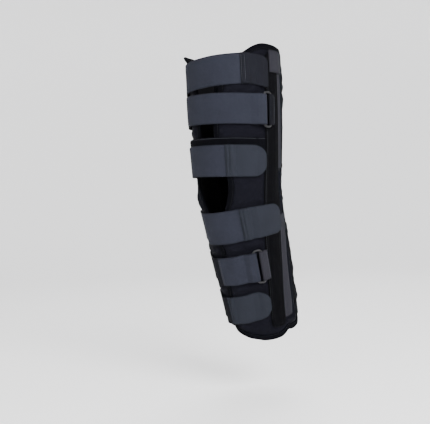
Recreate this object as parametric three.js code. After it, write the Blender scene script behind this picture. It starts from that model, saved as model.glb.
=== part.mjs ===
// A knee immobilizer, closed as it is worn on a slightly bent left leg.
// Three padded panels wrap the leg: one behind it and one on each side. Each has a folded
// binding round its edge. The outer and the inner side carry a stiff pad. Six webbing straps
// start on the inner pad, cross the open front and close on the outer side, four with a hook
// tab sewn to their end, and two turned back through a rectangular ring.
// Millimetres and degrees. +Z runs up the thigh, the front of the leg faces -Y, and the outer
// side of the leg faces +X. The origin is the middle of the knee.
import * as THREE from "three";

// The limb that the wrap closes round, measured on the inner face of its panels
const THIGH_LENGTH = 239;
const CALF_LENGTH = 238;
const THIGH_HALF_WIDTH = 72.5;
const KNEE_HALF_WIDTH = 64.5;
const HEM_HALF_WIDTH = 54.5;
const THIGH_FRONT_BULGE = 3;
const CALF_BULGE = 5;
const KNEE_FLEX = 14;
const BEND_LENGTH = 80;

// Materials
const PANEL_THICKNESS = 4.5;
const BINDING_THICKNESS = 1;
const BINDING_WIDTH = 8;
const PAD_THICKNESS = 3.5;
const STRIP_THICKNESS = 1.5;
const PATCH_THICKNESS = 1.2;
const STRAP_WIDTH = 49;
const STRAP_THICKNESS = 1.8;
const TAB_THICKNESS = 1.6;
const BAND_THICKNESS = 1.2;
const LAYER_GAP = 0.4;

// Rings and the webbing loops that hold them
const RING_WIRE_RADIUS = 1.6;
const RING_SLOT = 7.5;
const RING_CORNER_RADIUS = 4;
const RING_SIDE_CLEARANCE = 1.2;
const LOOP_THICKNESS = 1.4;
const LOOP_REACH = 10;

// The outer flap climbs over the inner one below the knee
const FLAP_LIFT = PANEL_THICKNESS + LAYER_GAP;
const TOP_CORNER_FLARE = 8;

// Heights in the tables are shares of THIGH_LENGTH above the knee and of CALF_LENGTH below it.
// Angles run round the leg, from 0 at the front to 90 at the outer side and 180 at the back.

// end: 0 is the knee's half width, 1 the thigh's or the hem's. front and back: shares of the
// bulges by which the limb is deeper than it is wide.
const FORM = [
  { height: -1.0, end: 1.0, front: 0.0, back: 0.8 },
  { height: -0.7, end: 0.7, front: 0.0, back: 1.0 },
  { height: -0.45, end: 0.35, front: -0.1, back: 0.9 },
  { height: -0.18, end: 0.2, front: 0.0, back: 0.4 },
  { height: 0.0, end: 0.0, front: 0.67, back: 0.0 },
  { height: 0.2, end: 0.375, front: 0.67, back: 0.3 },
  { height: 0.52, end: 0.875, front: 0.67, back: 0.2 },
  { height: 0.8, end: 1.0, front: 0.7, back: 0.2 },
  { height: 1.0, end: 1.0, front: 1.0, back: 0.2 },
];

// The outer panel: its front edge is cut back at the kneecap and laps over below it
const OUTER_FRONT = [
  { height: -1.0, angle: -16 },
  { height: -0.62, angle: -11 },
  { height: -0.33, angle: -5 },
  { height: -0.26, angle: -8 },
  { height: -0.16, angle: 3 },
  { height: -0.05, angle: 14.5 },
  { height: 0.0, angle: 19.5 },
  { height: 0.07, angle: 23 },
  { height: 0.15, angle: 21 },
  { height: 0.36, angle: 9 },
  { height: 0.45, angle: 8 },
  { height: 0.7, angle: 17 },
  { height: 0.9, angle: 21 },
];
const OUTER_REAR = [
  { height: -1.0, angle: 113 },
  { height: -0.4, angle: 115 },
  { height: -0.2, angle: 118 },
  { height: 1.0, angle: 118 },
];
const OUTER_TOP = [
  { angle: 16, height: 0.86 },
  { angle: 30, height: 0.885 },
  { angle: 46, height: 0.928 },
  { angle: 60, height: 0.975 },
  { angle: 75, height: 1.0 },
  { angle: 118, height: 0.99 },
];
const OUTER_BOTTOM = [
  { angle: -17, height: -0.885 },
  { angle: -10, height: -0.925 },
  { angle: 12, height: -0.974 },
  { angle: 30, height: -1.003 },
  { angle: 48, height: -1.01 },
  { angle: 62, height: -1.008 },
  { angle: 71, height: -0.994 },
  { angle: 78, height: -0.977 },
  { angle: 86, height: -0.986 },
  { angle: 97, height: -0.99 },
  { angle: 113, height: -0.985 },
];

// The inner panel, whose upper front corner is cut back and stands away from the thigh
const INNER_FRONT = [
  { height: -0.9, angle: 3 },
  { height: -0.35, angle: 2 },
  { height: -0.17, angle: -8 },
  { height: -0.07, angle: -21 },
  { height: 0.01, angle: -32 },
  { height: 0.09, angle: -43 },
  { height: 0.18, angle: -40 },
  { height: 0.36, angle: -21 },
  { height: 0.45, angle: -17 },
  { height: 0.7, angle: -19 },
  { height: 0.8, angle: -27 },
  { height: 0.9, angle: -43 },
  { height: 1.0, angle: -48 },
];
const INNER_REAR = [
  { height: -1.0, angle: -114 },
  { height: 1.0, angle: -118 },
];
const INNER_TOP = 0.99;
const INNER_BOTTOM = [
  { angle: -118, height: -0.93 },
  { angle: -60, height: -0.905 },
  { angle: 3, height: -0.9 },
];

// The back panel meets the side panels edge to edge
const BACK_JOINT = 2 * BINDING_THICKNESS + 3 * LAYER_GAP;
const BACK_TOP = 0.985;
const BACK_BOTTOM = [
  { angle: 112, height: -0.955 },
  { angle: 130, height: -0.925 },
  { angle: 155, height: -0.895 },
  { angle: 180, height: -0.89 },
  { angle: 205, height: -0.895 },
  { angle: 230, height: -0.91 },
  { angle: 248, height: -0.925 },
];

// Stiff pads; the strips of webbing lie along the outer pad's rear edge
const OUTER_PAD = [
  { height: -0.93, front: 48, rear: 72.5 },
  { height: -0.75, front: 51, rear: 75.5 },
  { height: -0.47, front: 56, rear: 82.5 },
  { height: -0.33, front: 59, rear: 87 },
  { height: -0.14, front: 64.5, rear: 95.5 },
  { height: 0.03, front: 70, rear: 97 },
  { height: 0.2, front: 72.5, rear: 96.5 },
  { height: 0.5, front: 73.5, rear: 95 },
  { height: 0.94, front: 75, rear: 95 },
];
const INNER_PAD = { front: -72, rear: -100, bottom: -0.85, top: 0.93 };
const THIGH_STRIP = [
  { height: 0.17, rear: 107 },
  { height: 0.5, rear: 103.5 },
  { height: 0.93, rear: 103.5 },
];
const CALF_STRIP = [
  { height: -0.88, rear: 90.5 },
  { height: -0.79, rear: 93.5 },
  { height: -0.48, rear: 95.5 },
  { height: -0.35, rear: 100.5 },
  { height: -0.16, rear: 110 },
];
const PATCH = { front: 79, rear: 105, bottom: 0.81, top: 0.96 };

// The straps, from the top. rise: millimetres that the strap climbs from its inner side to its
// outer end; droop: that its tab falls again; bow: how far it stands off the inner side;
// climbed: the angle by which it has reached the top of the outer pad; seam and tip belong to
// a hook tab with rounded corners, bar and end to a strap turned back through a ring. At a
// seam the tab laps over the strap and drops to its level. A turned back strap settles onto
// itself. These three are in degrees.
const STRAPS = [
  {
    name: "thigh_strap_upper", height: 0.827, rise: 3, droop: -9, bow: 3.2, climbed: 70,
    seam: 47, tip: 77, corner: 8,
  },
  {
    name: "thigh_strap_lower", height: 0.572, rise: -8, droop: 0, bow: 3.4, climbed: 62,
    bar: 69, end: -40,
  },
  {
    name: "knee_strap_upper", height: 0.229, rise: -6, droop: 0, bow: 3.5, climbed: 69,
    seam: 25, tip: 71.5, corner: 19,
  },
  {
    name: "knee_strap_lower", height: -0.163, rise: 7, droop: -5, bow: 0, climbed: 55,
    seam: 35, tip: 91, corner: 17,
  },
  {
    name: "calf_strap_upper", height: -0.468, rise: 6, droop: 0, bow: 0, climbed: 34,
    bar: 40, end: -12,
  },
  {
    name: "calf_strap_lower", height: -0.757, rise: 10, droop: 0, bow: 0, climbed: 44,
    seam: -10, tip: 52.5, corner: 21,
  },
];
const STRAP_START = -97;
const STRAP_LEVEL_UNTIL = -30;
const SEAM_LAP = 3.2;
const SEAM_DROP = 6.5;
const TURN_SETTLE = 14;
const BAND = { under: "knee_strap_upper", above: 12, end: 71 };

const STRAP_STEP = 6;
const PAD_CLIMB = 8;
const STRAP_ROWS = 2;
const ROUND_STEPS = 6;

// Points nearer than this are one point
const WELD = 1e-3;

const mix = THREE.MathUtils.lerp;
const clamp = THREE.MathUtils.clamp;

// A straight or a smooth step from 0 at one value to 1 at another, in either order
const ramp = (x, from, to) => clamp((x - from) / (to - from), 0, 1);
function ease(x, from, to) {
  const t = ramp(x, from, to);
  return t * t * (3 - 2 * t);
}

// Reads one column of a table at a value of its key, on a smooth curve through the rows
function read(table, key, column, x) {
  const last = table.length - 1;
  if (x <= table[0][key]) return table[0][column];
  if (x >= table[last][key]) return table[last][column];
  let i = 0;
  while (x > table[i + 1][key]) i++;
  const slope = (k) => {
    const before = table[Math.max(k - 1, 0)];
    const after = table[Math.min(k + 1, last)];
    return (after[column] - before[column]) / (after[key] - before[key]);
  };
  const span = table[i + 1][key] - table[i][key];
  const t = (x - table[i][key]) / span;
  const start = table[i][column] * (1 + 2 * t) * (1 - t) ** 2 + slope(i) * span * t * (1 - t) ** 2;
  const stop = table[i + 1][column] * t * t * (3 - 2 * t) - slope(i + 1) * span * t * t * (1 - t);
  return start + stop;
}

const heightOf = (share) => share * (share > 0 ? THIGH_LENGTH : CALF_LENGTH);
const shareOf = (height) => height / (height > 0 ? THIGH_LENGTH : CALF_LENGTH);

// Half width, front depth and back depth of the limb at a height
function section(height) {
  const share = shareOf(height);
  const far = height > 0 ? THIGH_HALF_WIDTH : HEM_HALF_WIDTH;
  const halfWidth = mix(KNEE_HALF_WIDTH, far, read(FORM, "height", "end", share));
  const front = halfWidth + THIGH_FRONT_BULGE * read(FORM, "height", "front", share);
  const back = halfWidth + CALF_BULGE * read(FORM, "height", "back", share);
  return { halfWidth, front, back };
}

// The limb's middle line: straight up the thigh, an arc at the knee, straight down the calf
const FLEX = THREE.MathUtils.degToRad(KNEE_FLEX);
const BEND_RADIUS = BEND_LENGTH / FLEX;
function arcPoint(height) {
  const turn = clamp((BEND_LENGTH / 2 - height) / BEND_RADIUS, 0, FLEX);
  const below = Math.min(height + BEND_LENGTH / 2, 0);
  const above = Math.max(height - BEND_LENGTH / 2, 0);
  return {
    turn,
    y: BEND_RADIUS * (1 - Math.cos(turn)) - below * Math.sin(FLEX),
    z: BEND_LENGTH / 2 - BEND_RADIUS * Math.sin(turn) + below * Math.cos(FLEX) + above,
  };
}
const KNEE = arcPoint(0);

// A point at a height along the limb, an angle round it and an offset out from its surface
function point(height, angle, offset) {
  const size = section(height);
  const line = arcPoint(height);
  const a = THREE.MathUtils.degToRad(angle);
  const depth = Math.cos(a) > 0 ? size.front : size.back;
  const forward = (depth + offset) * Math.cos(a);
  return new THREE.Vector3(
    (size.halfWidth + offset) * Math.sin(a),
    line.y - KNEE.y - Math.cos(line.turn) * forward,
    line.z - KNEE.z - Math.sin(line.turn) * forward,
  );
}

// Millimetres round the limb for each degree
const perDegree = (height) => THREE.MathUtils.degToRad(section(height).halfWidth + PANEL_THICKNESS);

// A closed solid from points and triangles; the faces are turned to point out
function solid(points, triangles) {
  const apart = (a, b) => points[a].distanceTo(points[b]) > WELD;
  const kept = triangles.filter(([a, b, c]) => apart(a, b) && apart(b, c) && apart(c, a));
  let volume = 0;
  for (const [a, b, c] of kept) {
    volume += points[a].dot(new THREE.Vector3().crossVectors(points[b], points[c]));
  }
  const faces = volume > 0 ? kept : kept.map(([a, b, c]) => [a, c, b]);
  const geometry = new THREE.BufferGeometry().setFromPoints(points);
  geometry.setIndex(faces.flat());
  geometry.computeVertexNormals();
  return geometry;
}

// The two triangles of a quad, split across its shorter diagonal
function quad(points, a, b, c, d) {
  const short = points[a].distanceTo(points[c]) <= points[b].distanceTo(points[d]);
  return short ? [[a, b, c], [a, c, d]] : [[a, b, d], [b, c, d]];
}

// A sheet with a thickness: outer and inner give the two faces on one grid
function sheet(columns, rows, outer, inner) {
  const points = [];
  const at = (side, i, j) => (side * (columns + 1) + i) * (rows + 1) + j;
  for (const face of [outer, inner]) {
    for (let i = 0; i <= columns; i++) {
      for (let j = 0; j <= rows; j++) points.push(face(i, j));
    }
  }
  const triangles = [];
  for (let i = 0; i < columns; i++) {
    for (let j = 0; j < rows; j++) {
      const cell = [[i, j], [i + 1, j], [i + 1, j + 1], [i, j + 1]];
      triangles.push(...quad(points, ...cell.map((corner) => at(0, ...corner))));
      triangles.push(...quad(points, ...[0, 3, 2, 1].map((k) => at(1, ...cell[k]))));
    }
  }
  const rim = rimOf(columns, rows);
  rim.forEach(([i, j], k) => {
    const [ni, nj] = rim[(k + 1) % rim.length];
    triangles.push(...quad(points, at(0, ni, nj), at(0, i, j), at(1, i, j), at(1, ni, nj)));
  });
  return solid(points, triangles);
}

// The grid's border, once round
function rimOf(columns, rows) {
  const rim = [];
  for (let i = 0; i < columns; i++) rim.push([i, 0]);
  for (let j = 0; j < rows; j++) rim.push([columns, j]);
  for (let i = columns; i > 0; i--) rim.push([i, rows]);
  for (let j = rows; j > 0; j--) rim.push([0, j]);
  return rim;
}

// A tube with a closed section carried round a closed path; station(k) gives its points
function closedTube(stations, station) {
  const rings = Array.from({ length: stations }, (_, k) => station(k));
  const sides = rings[0].length;
  const points = rings.flat();
  const triangles = [];
  for (let k = 0; k < stations; k++) {
    for (let s = 0; s < sides; s++) {
      const next = ((k + 1) % stations) * sides;
      const [a, b] = [k * sides + s, k * sides + ((s + 1) % sides)];
      const [c, d] = [next + ((s + 1) % sides), next + s];
      triangles.push(...quad(points, a, b, c, d));
    }
  }
  return solid(points, triangles);
}

// How far a panel is lifted off the limb
const noLift = () => 0;
const flapLift = (height, angle) =>
  FLAP_LIFT * ease(angle, 26, 8) * ease(shareOf(height), -0.1, -0.2);
const cornerFlare = (height, angle) =>
  TOP_CORNER_FLARE * ease(shareOf(height), 0.92, 0.99) * ease(angle, INNER_PAD.front, -50);

// The panels: four edges each, as functions of height or angle
const PANELS = {
  lateral: {
    columns: 16,
    rows: 19,
    front: (height) => read(OUTER_FRONT, "height", "angle", shareOf(height)),
    rear: (height) => read(OUTER_REAR, "height", "angle", shareOf(height)),
    top: (angle) => heightOf(read(OUTER_TOP, "angle", "height", angle)),
    bottom: (angle) => heightOf(read(OUTER_BOTTOM, "angle", "height", angle)),
    lift: flapLift,
  },
  medial: {
    columns: 11,
    rows: 20,
    front: (height) => read(INNER_REAR, "height", "angle", shareOf(height)),
    rear: (height) => read(INNER_FRONT, "height", "angle", shareOf(height)),
    top: () => heightOf(INNER_TOP),
    bottom: (angle) => heightOf(read(INNER_BOTTOM, "angle", "height", angle)),
    lift: cornerFlare,
  },
  posterior: {
    columns: 14,
    rows: 18,
    front: (height) => PANELS.lateral.rear(height) + BACK_JOINT / perDegree(height),
    rear: (height) => 360 + PANELS.medial.front(height) - BACK_JOINT / perDegree(height),
    top: () => heightOf(BACK_TOP),
    bottom: (angle) => heightOf(read(BACK_BOTTOM, "angle", "height", angle)),
    lift: noLift,
  },
};

// A grid line between two edges; the second and the last but one lie where the binding ends
function gridLine(from, to, inset, index, count) {
  if (index === 0) return from;
  if (index === count) return to;
  return mix(from + inset, to - inset, (index - 1) / (count - 2));
}

// Height and angle of a panel's grid point, settled between its four edges
function panelPlace(panel, i, j) {
  let height = 0;
  let angle = mix(panel.front(0), panel.rear(0), i / panel.columns);
  for (let pass = 0; pass < 8; pass++) {
    const inset = BINDING_WIDTH / perDegree(height);
    height = gridLine(panel.bottom(angle), panel.top(angle), BINDING_WIDTH, j, panel.rows);
    angle = gridLine(panel.front(height), panel.rear(height), inset, i, panel.columns);
  }
  return { height, angle };
}

// The padding is squeezed thin where the binding holds it, so the binding lies flush
const SQUEEZE = BINDING_THICKNESS + LAYER_GAP;
function panelGeometry(panel) {
  const { columns, rows, lift } = panel;
  const face = (offset, squeezed) => (i, j) => {
    const { height, angle } = panelPlace(panel, i, j);
    const bound = i < 2 || j < 2 || i > columns - 2 || j > rows - 2;
    return point(height, angle, lift(height, angle) + (bound ? squeezed : offset));
  };
  return sheet(columns, rows, face(PANEL_THICKNESS, PANEL_THICKNESS - SQUEEZE), face(0, SQUEEZE));
}

// The binding: a tape folded over the panel's edge, all the way round
function bindingGeometry(panel) {
  const { columns, rows } = panel;
  const rim = rimOf(columns, rows);
  return closedTube(rim.length, (k) => {
    const place = ([i, j]) => panelPlace(panel, i, j);
    const here = place(rim[k]);
    const scale = perDegree(here.height);
    const outward = (from, to) => {
      const along = new THREE.Vector2((to.angle - from.angle) * scale, to.height - from.height);
      return new THREE.Vector2(along.y, -along.x).normalize();
    };
    const first = outward(place(rim[(k + rim.length - 1) % rim.length]), here);
    const mitre = outward(here, place(rim[(k + 1) % rim.length])).add(first).normalize();
    mitre.divideScalar(mitre.dot(first));
    const edge = (reach, offset) => {
      const angle = here.angle + (mitre.x * reach) / scale;
      const height = here.height + mitre.y * reach;
      return point(height, angle, panel.lift(height, angle) + offset);
    };
    const seam = place([clamp(rim[k][0], 1, columns - 1), clamp(rim[k][1], 1, rows - 1)]);
    const leaf = (offset) => point(seam.height, seam.angle, panel.lift(seam.height, seam.angle) + offset);
    const fold = PANEL_THICKNESS - BINDING_THICKNESS;
    return [
      edge(SQUEEZE, PANEL_THICKNESS),
      leaf(PANEL_THICKNESS),
      leaf(fold),
      edge(LAYER_GAP, fold),
      edge(LAYER_GAP, BINDING_THICKNESS),
      leaf(BINDING_THICKNESS),
      leaf(0),
      edge(SQUEEZE, 0),
    ];
  });
}

// A flat strip on top of a panel between two edges that are tables of angles
function overlay({ columns, rows, bottom, top, front, rear, base, thickness }) {
  const face = (offset) => (i, j) => {
    const height = mix(heightOf(bottom), heightOf(top), j / rows);
    const angle = mix(front(height), rear(height), i / columns);
    return point(height, angle, base(angle) + offset);
  };
  return sheet(columns, rows, face(thickness), face(0));
}

// What lies under a strap: panels and bindings, the lapped flap, and the pad on each side
const PAD_STEP = PAD_THICKNESS + LAYER_GAP;
function bed(height, angle, climbed) {
  const lap = ease(angle, -44, -20) * ease(angle, 30, 12) * ease(shareOf(height), -0.04, -0.14);
  const outerPad = ramp(angle, climbed - PAD_CLIMB, climbed);
  const innerPad = ramp(angle, INNER_PAD.front + 2 * PAD_CLIMB, INNER_PAD.front + PAD_CLIMB);
  return PANEL_THICKNESS + FLAP_LIFT * lap + PAD_STEP * (outerPad + innerPad);
}

// The height of a strap's middle at an angle
function strapHeight(strap, angle) {
  const stop = strap.tip ?? strap.bar;
  const along = ramp(angle, STRAP_LEVEL_UNTIL, stop);
  const past = strap.seam === undefined ? 0 : ramp(angle, strap.seam, stop);
  return heightOf(strap.height) + strap.rise * (along - 0.5) + strap.droop * past * past;
}

// Webbing along a path of stations, each an angle and the offset of its middle
function ribbon({ strap, path, thickness, raise = 0 }) {
  const scale = perDegree(heightOf(strap.height));
  const flat = path.map((p) => new THREE.Vector2(p.angle * scale, p.offset));
  const face = (side) => (i, j) => {
    const ahead = flat[Math.min(i + 1, path.length - 1)];
    const tangent = ahead.clone().sub(flat[Math.max(i - 1, 0)]).normalize();
    const away = (side * thickness) / 2;
    const angle = path[i].angle - (tangent.y * away) / scale;
    const width = path[i].width ?? STRAP_WIDTH;
    const middle = strapHeight(strap, path[i].angle) + raise;
    const height = middle + (j / STRAP_ROWS - 0.5) * width;
    const sway = bed(height, angle, strap.climbed) - bed(middle, angle, strap.climbed);
    return point(height, angle, path[i].offset + tangent.x * away + sway);
  };
  return sheet(path.length - 1, STRAP_ROWS, face(1), face(-1));
}

// Stations from one angle to another, at a level above the bed. All layers of a strap bend at
// the same angles, so none cuts into the next.
function stretch(strap, from, to, level, raise = 0) {
  const [low, high] = [Math.min(from, to) + STRAP_STEP / 4, Math.max(from, to) - STRAP_STEP / 4];
  const climb = [strap.climbed - PAD_CLIMB, strap.climbed];
  const bends = climb.filter((angle) => angle > low && angle < high);
  for (let k = Math.ceil(low / STRAP_STEP); k * STRAP_STEP < high; k++) {
    const step = k * STRAP_STEP;
    if (bends.every((angle) => Math.abs(angle - step) > STRAP_STEP / 4)) bends.push(step);
  }
  bends.sort((a, b) => (a - b) * Math.sign(to - from));
  return [from, ...bends, to].map((angle) => {
    const middle = strapHeight(strap, angle) + raise;
    const bow = strap.bow * ease(angle, -90, -55) * ease(angle, 0, -45);
    return { angle, offset: bed(middle, angle, strap.climbed) + LAYER_GAP + bow + level(angle) };
  });
}

// Where a knee strap lies on the band beneath it
const underBand = (strap) => (strap.name === BAND.under ? BAND_THICKNESS + LAYER_GAP : 0);

function strapGeometry(strap) {
  const middle = underBand(strap) + STRAP_THICKNESS / 2;
  const stop = strap.bar ?? strap.seam + SEAM_LAP;
  const lower = stretch(strap, STRAP_START, stop, () => middle);
  if (strap.bar === undefined) return ribbon({ strap, path: lower, thickness: STRAP_THICKNESS });
  // Turned back over the ring's near bar, it comes down on itself
  const scale = perDegree(heightOf(strap.height));
  const round = RING_WIRE_RADIUS + LAYER_GAP + STRAP_THICKNESS / 2;
  const foot = lower[lower.length - 1].offset;
  const turn = Array.from({ length: ROUND_STEPS - 1 }, (_, k) => {
    const a = ((k + 1) / ROUND_STEPS) * Math.PI;
    return { angle: strap.bar + (round * Math.sin(a)) / scale, offset: foot + round * (1 - Math.cos(a)) };
  });
  const settled = STRAP_THICKNESS * 1.5 + LAYER_GAP;
  const upper = stretch(strap, strap.bar, strap.end, (angle) =>
    mix(settled, 2 * round + middle, ease(angle, strap.bar - TURN_SETTLE, strap.bar)));
  return ribbon({ strap, path: [...lower, ...turn, ...upper], thickness: STRAP_THICKNESS });
}

// The hook tab: laps over the strap's end, then lies beside it at its level
function tabGeometry(strap) {
  const scale = perDegree(heightOf(strap.height));
  const start = strap.seam - SEAM_LAP;
  const lap = STRAP_THICKNESS + LAYER_GAP;
  const drop = strap.seam + SEAM_LAP + SEAM_DROP / 4;
  const level = (angle) =>
    underBand(strap) + TAB_THICKNESS / 2 + lap * ease(angle, strap.seam + SEAM_LAP + SEAM_DROP, drop);
  const cornerAngle = strap.tip - strap.corner / scale;
  const lapped = stretch(strap, start, strap.seam + SEAM_LAP, level);
  const body = stretch(strap, drop, cornerAngle, level);
  const rounded = Array.from({ length: ROUND_STEPS }, (_, k) => {
    const a = ((k + 1) / ROUND_STEPS) * (Math.PI / 2);
    const angle = cornerAngle + (strap.corner * Math.sin(a)) / scale;
    const [station] = stretch(strap, angle, angle + 1, level);
    return { ...station, width: STRAP_WIDTH - 2 * strap.corner * (1 - Math.cos(a)) };
  });
  return ribbon({ strap, path: [...lapped, ...body, ...rounded], thickness: TAB_THICKNESS });
}

// The black band beneath the upper knee strap
function bandGeometry(strap) {
  const path = stretch(strap, STRAP_START, BAND.end, () => BAND_THICKNESS / 2, BAND.above);
  return ribbon({ strap, path, thickness: BAND_THICKNESS, raise: BAND.above });
}

// The offset of the ring's wire: on top of the strap's lower layer
const ringOffset = (strap) =>
  bed(strapHeight(strap, strap.bar), strap.bar, strap.climbed) +
  2 * LAYER_GAP + STRAP_THICKNESS + RING_WIRE_RADIUS;

// A rectangular ring with round corners, its long bars along the leg
function ringGeometry(strap) {
  const scale = perDegree(heightOf(strap.height));
  const halfHeight = STRAP_WIDTH / 2 + RING_SIDE_CLEARANCE + RING_WIRE_RADIUS;
  const halfWidth = RING_SLOT / 2 + RING_WIRE_RADIUS;
  const quarter = 4;
  const sides = 8;
  const outline = [];
  for (let corner = 0; corner < 4; corner++) {
    const sx = corner === 0 || corner === 3 ? 1 : -1;
    const sy = corner < 2 ? 1 : -1;
    for (let k = 0; k <= quarter; k++) {
      const a = (corner + k / quarter) * (Math.PI / 2);
      const reach = new THREE.Vector2(Math.cos(a), Math.sin(a));
      const across = sx * (halfWidth - RING_CORNER_RADIUS);
      const centre = new THREE.Vector2(across, sy * (halfHeight - RING_CORNER_RADIUS));
      outline.push({ centre, reach });
    }
  }
  const middle = strap.bar + (RING_SLOT / 2 + RING_WIRE_RADIUS) / scale;
  const level = ringOffset(strap);
  return closedTube(outline.length, (k) => {
    const { centre, reach } = outline[k];
    return Array.from({ length: sides }, (_, s) => {
      const a = (s / sides) * Math.PI * 2;
      const out = RING_CORNER_RADIUS + RING_WIRE_RADIUS * Math.cos(a);
      const angle = middle + (centre.x + reach.x * out) / scale;
      const height = strapHeight(strap, angle) + centre.y + reach.y * out;
      return point(height, angle, level + RING_WIRE_RADIUS * Math.sin(a));
    });
  });
}

// The short webbing loop that holds the ring's far bar and is sewn to the pad
function ringLoopGeometry(strap) {
  const scale = perDegree(heightOf(strap.height));
  const barAngle = strap.bar + (RING_SLOT + 2 * RING_WIRE_RADIUS) / scale;
  const end = barAngle + LOOP_REACH / scale;
  const round = RING_WIRE_RADIUS + LAYER_GAP + LOOP_THICKNESS / 2;
  const level = ringOffset(strap);
  const lowest = bed(strapHeight(strap, end), end, strap.climbed) + LAYER_GAP + LOOP_THICKNESS / 2;
  const turn = Array.from({ length: ROUND_STEPS + 1 }, (_, k) => {
    const a = (k / ROUND_STEPS) * Math.PI;
    return { angle: barAngle - (round * Math.sin(a)) / scale, offset: level + round * Math.cos(a) };
  });
  const upper = lowest + LOOP_THICKNESS + LAYER_GAP;
  const path = [
    { angle: end, offset: upper },
    { angle: mix(end, barAngle, 0.5), offset: mix(upper, level + round, 0.55) },
    ...turn,
    { angle: mix(end, barAngle, 0.5), offset: lowest },
    { angle: end, offset: lowest },
  ];
  return ribbon({ strap, path, thickness: LOOP_THICKNESS });
}

const FOAM = new THREE.MeshStandardMaterial({ color: "#1c1e25", roughness: 0.85, metalness: 0 });
const TAPE = new THREE.MeshStandardMaterial({ color: "#111216", roughness: 0.8, metalness: 0 });
const VELOUR = new THREE.MeshStandardMaterial({ color: "#141517", roughness: 0.95, metalness: 0 });
const WEBBING = new THREE.MeshStandardMaterial({ color: "#3a3e4a", roughness: 0.9, metalness: 0 });
const STRIPING = new THREE.MeshStandardMaterial({ color: "#414248", roughness: 0.85, metalness: 0 });
const PLASTIC = new THREE.MeshStandardMaterial({ color: "#4a4a4c", roughness: 0.4, metalness: 0 });

const immobilizer = new THREE.Group();
function add(name, geometry, material) {
  const mesh = new THREE.Mesh(geometry, material);
  mesh.name = name;
  immobilizer.add(mesh);
}

for (const [side, panel] of Object.entries(PANELS)) {
  add(`${side}_panel`, panelGeometry(panel), FOAM);
  add(`${side}_binding`, bindingGeometry(panel), TAPE);
}

const padEdge = (column) => (height) => read(OUTER_PAD, "height", column, shareOf(height));
const besidePad = (height) => padEdge("rear")(height) + LAYER_GAP / perDegree(height);
const onPanel = () => PANEL_THICKNESS + LAYER_GAP;
const onStrip = PANEL_THICKNESS + STRIP_THICKNESS + 2 * LAYER_GAP;
const onPad = PANEL_THICKNESS + PAD_THICKNESS + 2 * LAYER_GAP;
add("lateral_pad", overlay({
  columns: 4, rows: 20, base: onPanel, thickness: PAD_THICKNESS,
  bottom: OUTER_PAD[0].height, top: OUTER_PAD[OUTER_PAD.length - 1].height,
  front: padEdge("front"), rear: padEdge("rear"),
}), VELOUR);
add("medial_pad", overlay({
  columns: 4, rows: 18, base: onPanel, thickness: PAD_THICKNESS,
  bottom: INNER_PAD.bottom, top: INNER_PAD.top,
  front: () => INNER_PAD.rear, rear: () => INNER_PAD.front,
}), VELOUR);
for (const [name, table] of [["stay_strip_thigh", THIGH_STRIP], ["stay_strip_calf", CALF_STRIP]]) {
  add(name, overlay({
    columns: 2, rows: 10, base: onPanel, thickness: STRIP_THICKNESS,
    bottom: table[0].height, top: table[table.length - 1].height,
    front: besidePad, rear: (height) => read(table, "height", "rear", shareOf(height)),
  }), STRIPING);
}
add("top_patch", overlay({
  columns: 4, rows: 2, thickness: PATCH_THICKNESS,
  base: (angle) => mix(onStrip, onPad, ease(angle, PATCH.rear, OUTER_PAD[OUTER_PAD.length - 1].rear)),
  bottom: PATCH.bottom, top: PATCH.top, front: () => PATCH.front, rear: () => PATCH.rear,
}), STRIPING);

for (const strap of STRAPS) {
  add(strap.name, strapGeometry(strap), WEBBING);
  if (strap.name === BAND.under) add("knee_band", bandGeometry(strap), TAPE);
  if (strap.seam !== undefined) {
    add(`${strap.name}_tab`, tabGeometry(strap), WEBBING);
  } else {
    add(`${strap.name}_ring`, ringGeometry(strap), PLASTIC);
    add(`${strap.name}_ring_loop`, ringLoopGeometry(strap), STRIPING);
  }
}

export default immobilizer;
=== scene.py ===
"""A knee immobilizer dressed for the camera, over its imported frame.

Every soft piece is a patch of one surface: the limb that the wrap closes round. A patch is worked
out as whole arrays from a height along the limb, an angle round it and an offset out from it.
Lengths are metres and angles are degrees: 0 is the front, 90 the outer side, 180 the back.
"""

import bpy
import numpy as np
from mathutils import Matrix, Vector


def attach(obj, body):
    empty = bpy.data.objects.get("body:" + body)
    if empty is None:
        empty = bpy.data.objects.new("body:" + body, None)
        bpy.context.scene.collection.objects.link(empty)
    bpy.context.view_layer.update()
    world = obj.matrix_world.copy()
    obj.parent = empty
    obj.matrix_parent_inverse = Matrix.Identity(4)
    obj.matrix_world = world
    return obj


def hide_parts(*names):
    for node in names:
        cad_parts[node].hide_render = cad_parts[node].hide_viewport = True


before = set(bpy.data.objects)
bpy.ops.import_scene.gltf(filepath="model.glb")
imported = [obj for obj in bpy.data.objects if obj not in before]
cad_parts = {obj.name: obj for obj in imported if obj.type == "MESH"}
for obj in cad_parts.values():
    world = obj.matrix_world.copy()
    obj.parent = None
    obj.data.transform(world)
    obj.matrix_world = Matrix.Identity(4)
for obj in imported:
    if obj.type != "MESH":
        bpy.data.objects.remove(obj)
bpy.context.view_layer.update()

# The limb, as in the frame
THIGH_LENGTH = 0.239
CALF_LENGTH = 0.238
THIGH_HALF_WIDTH = 0.0725
KNEE_HALF_WIDTH = 0.0645
HEM_HALF_WIDTH = 0.0545
THIGH_FRONT_BULGE = 0.003
CALF_BULGE = 0.005
KNEE_FLEX = 14
BEND_LENGTH = 0.080

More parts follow.
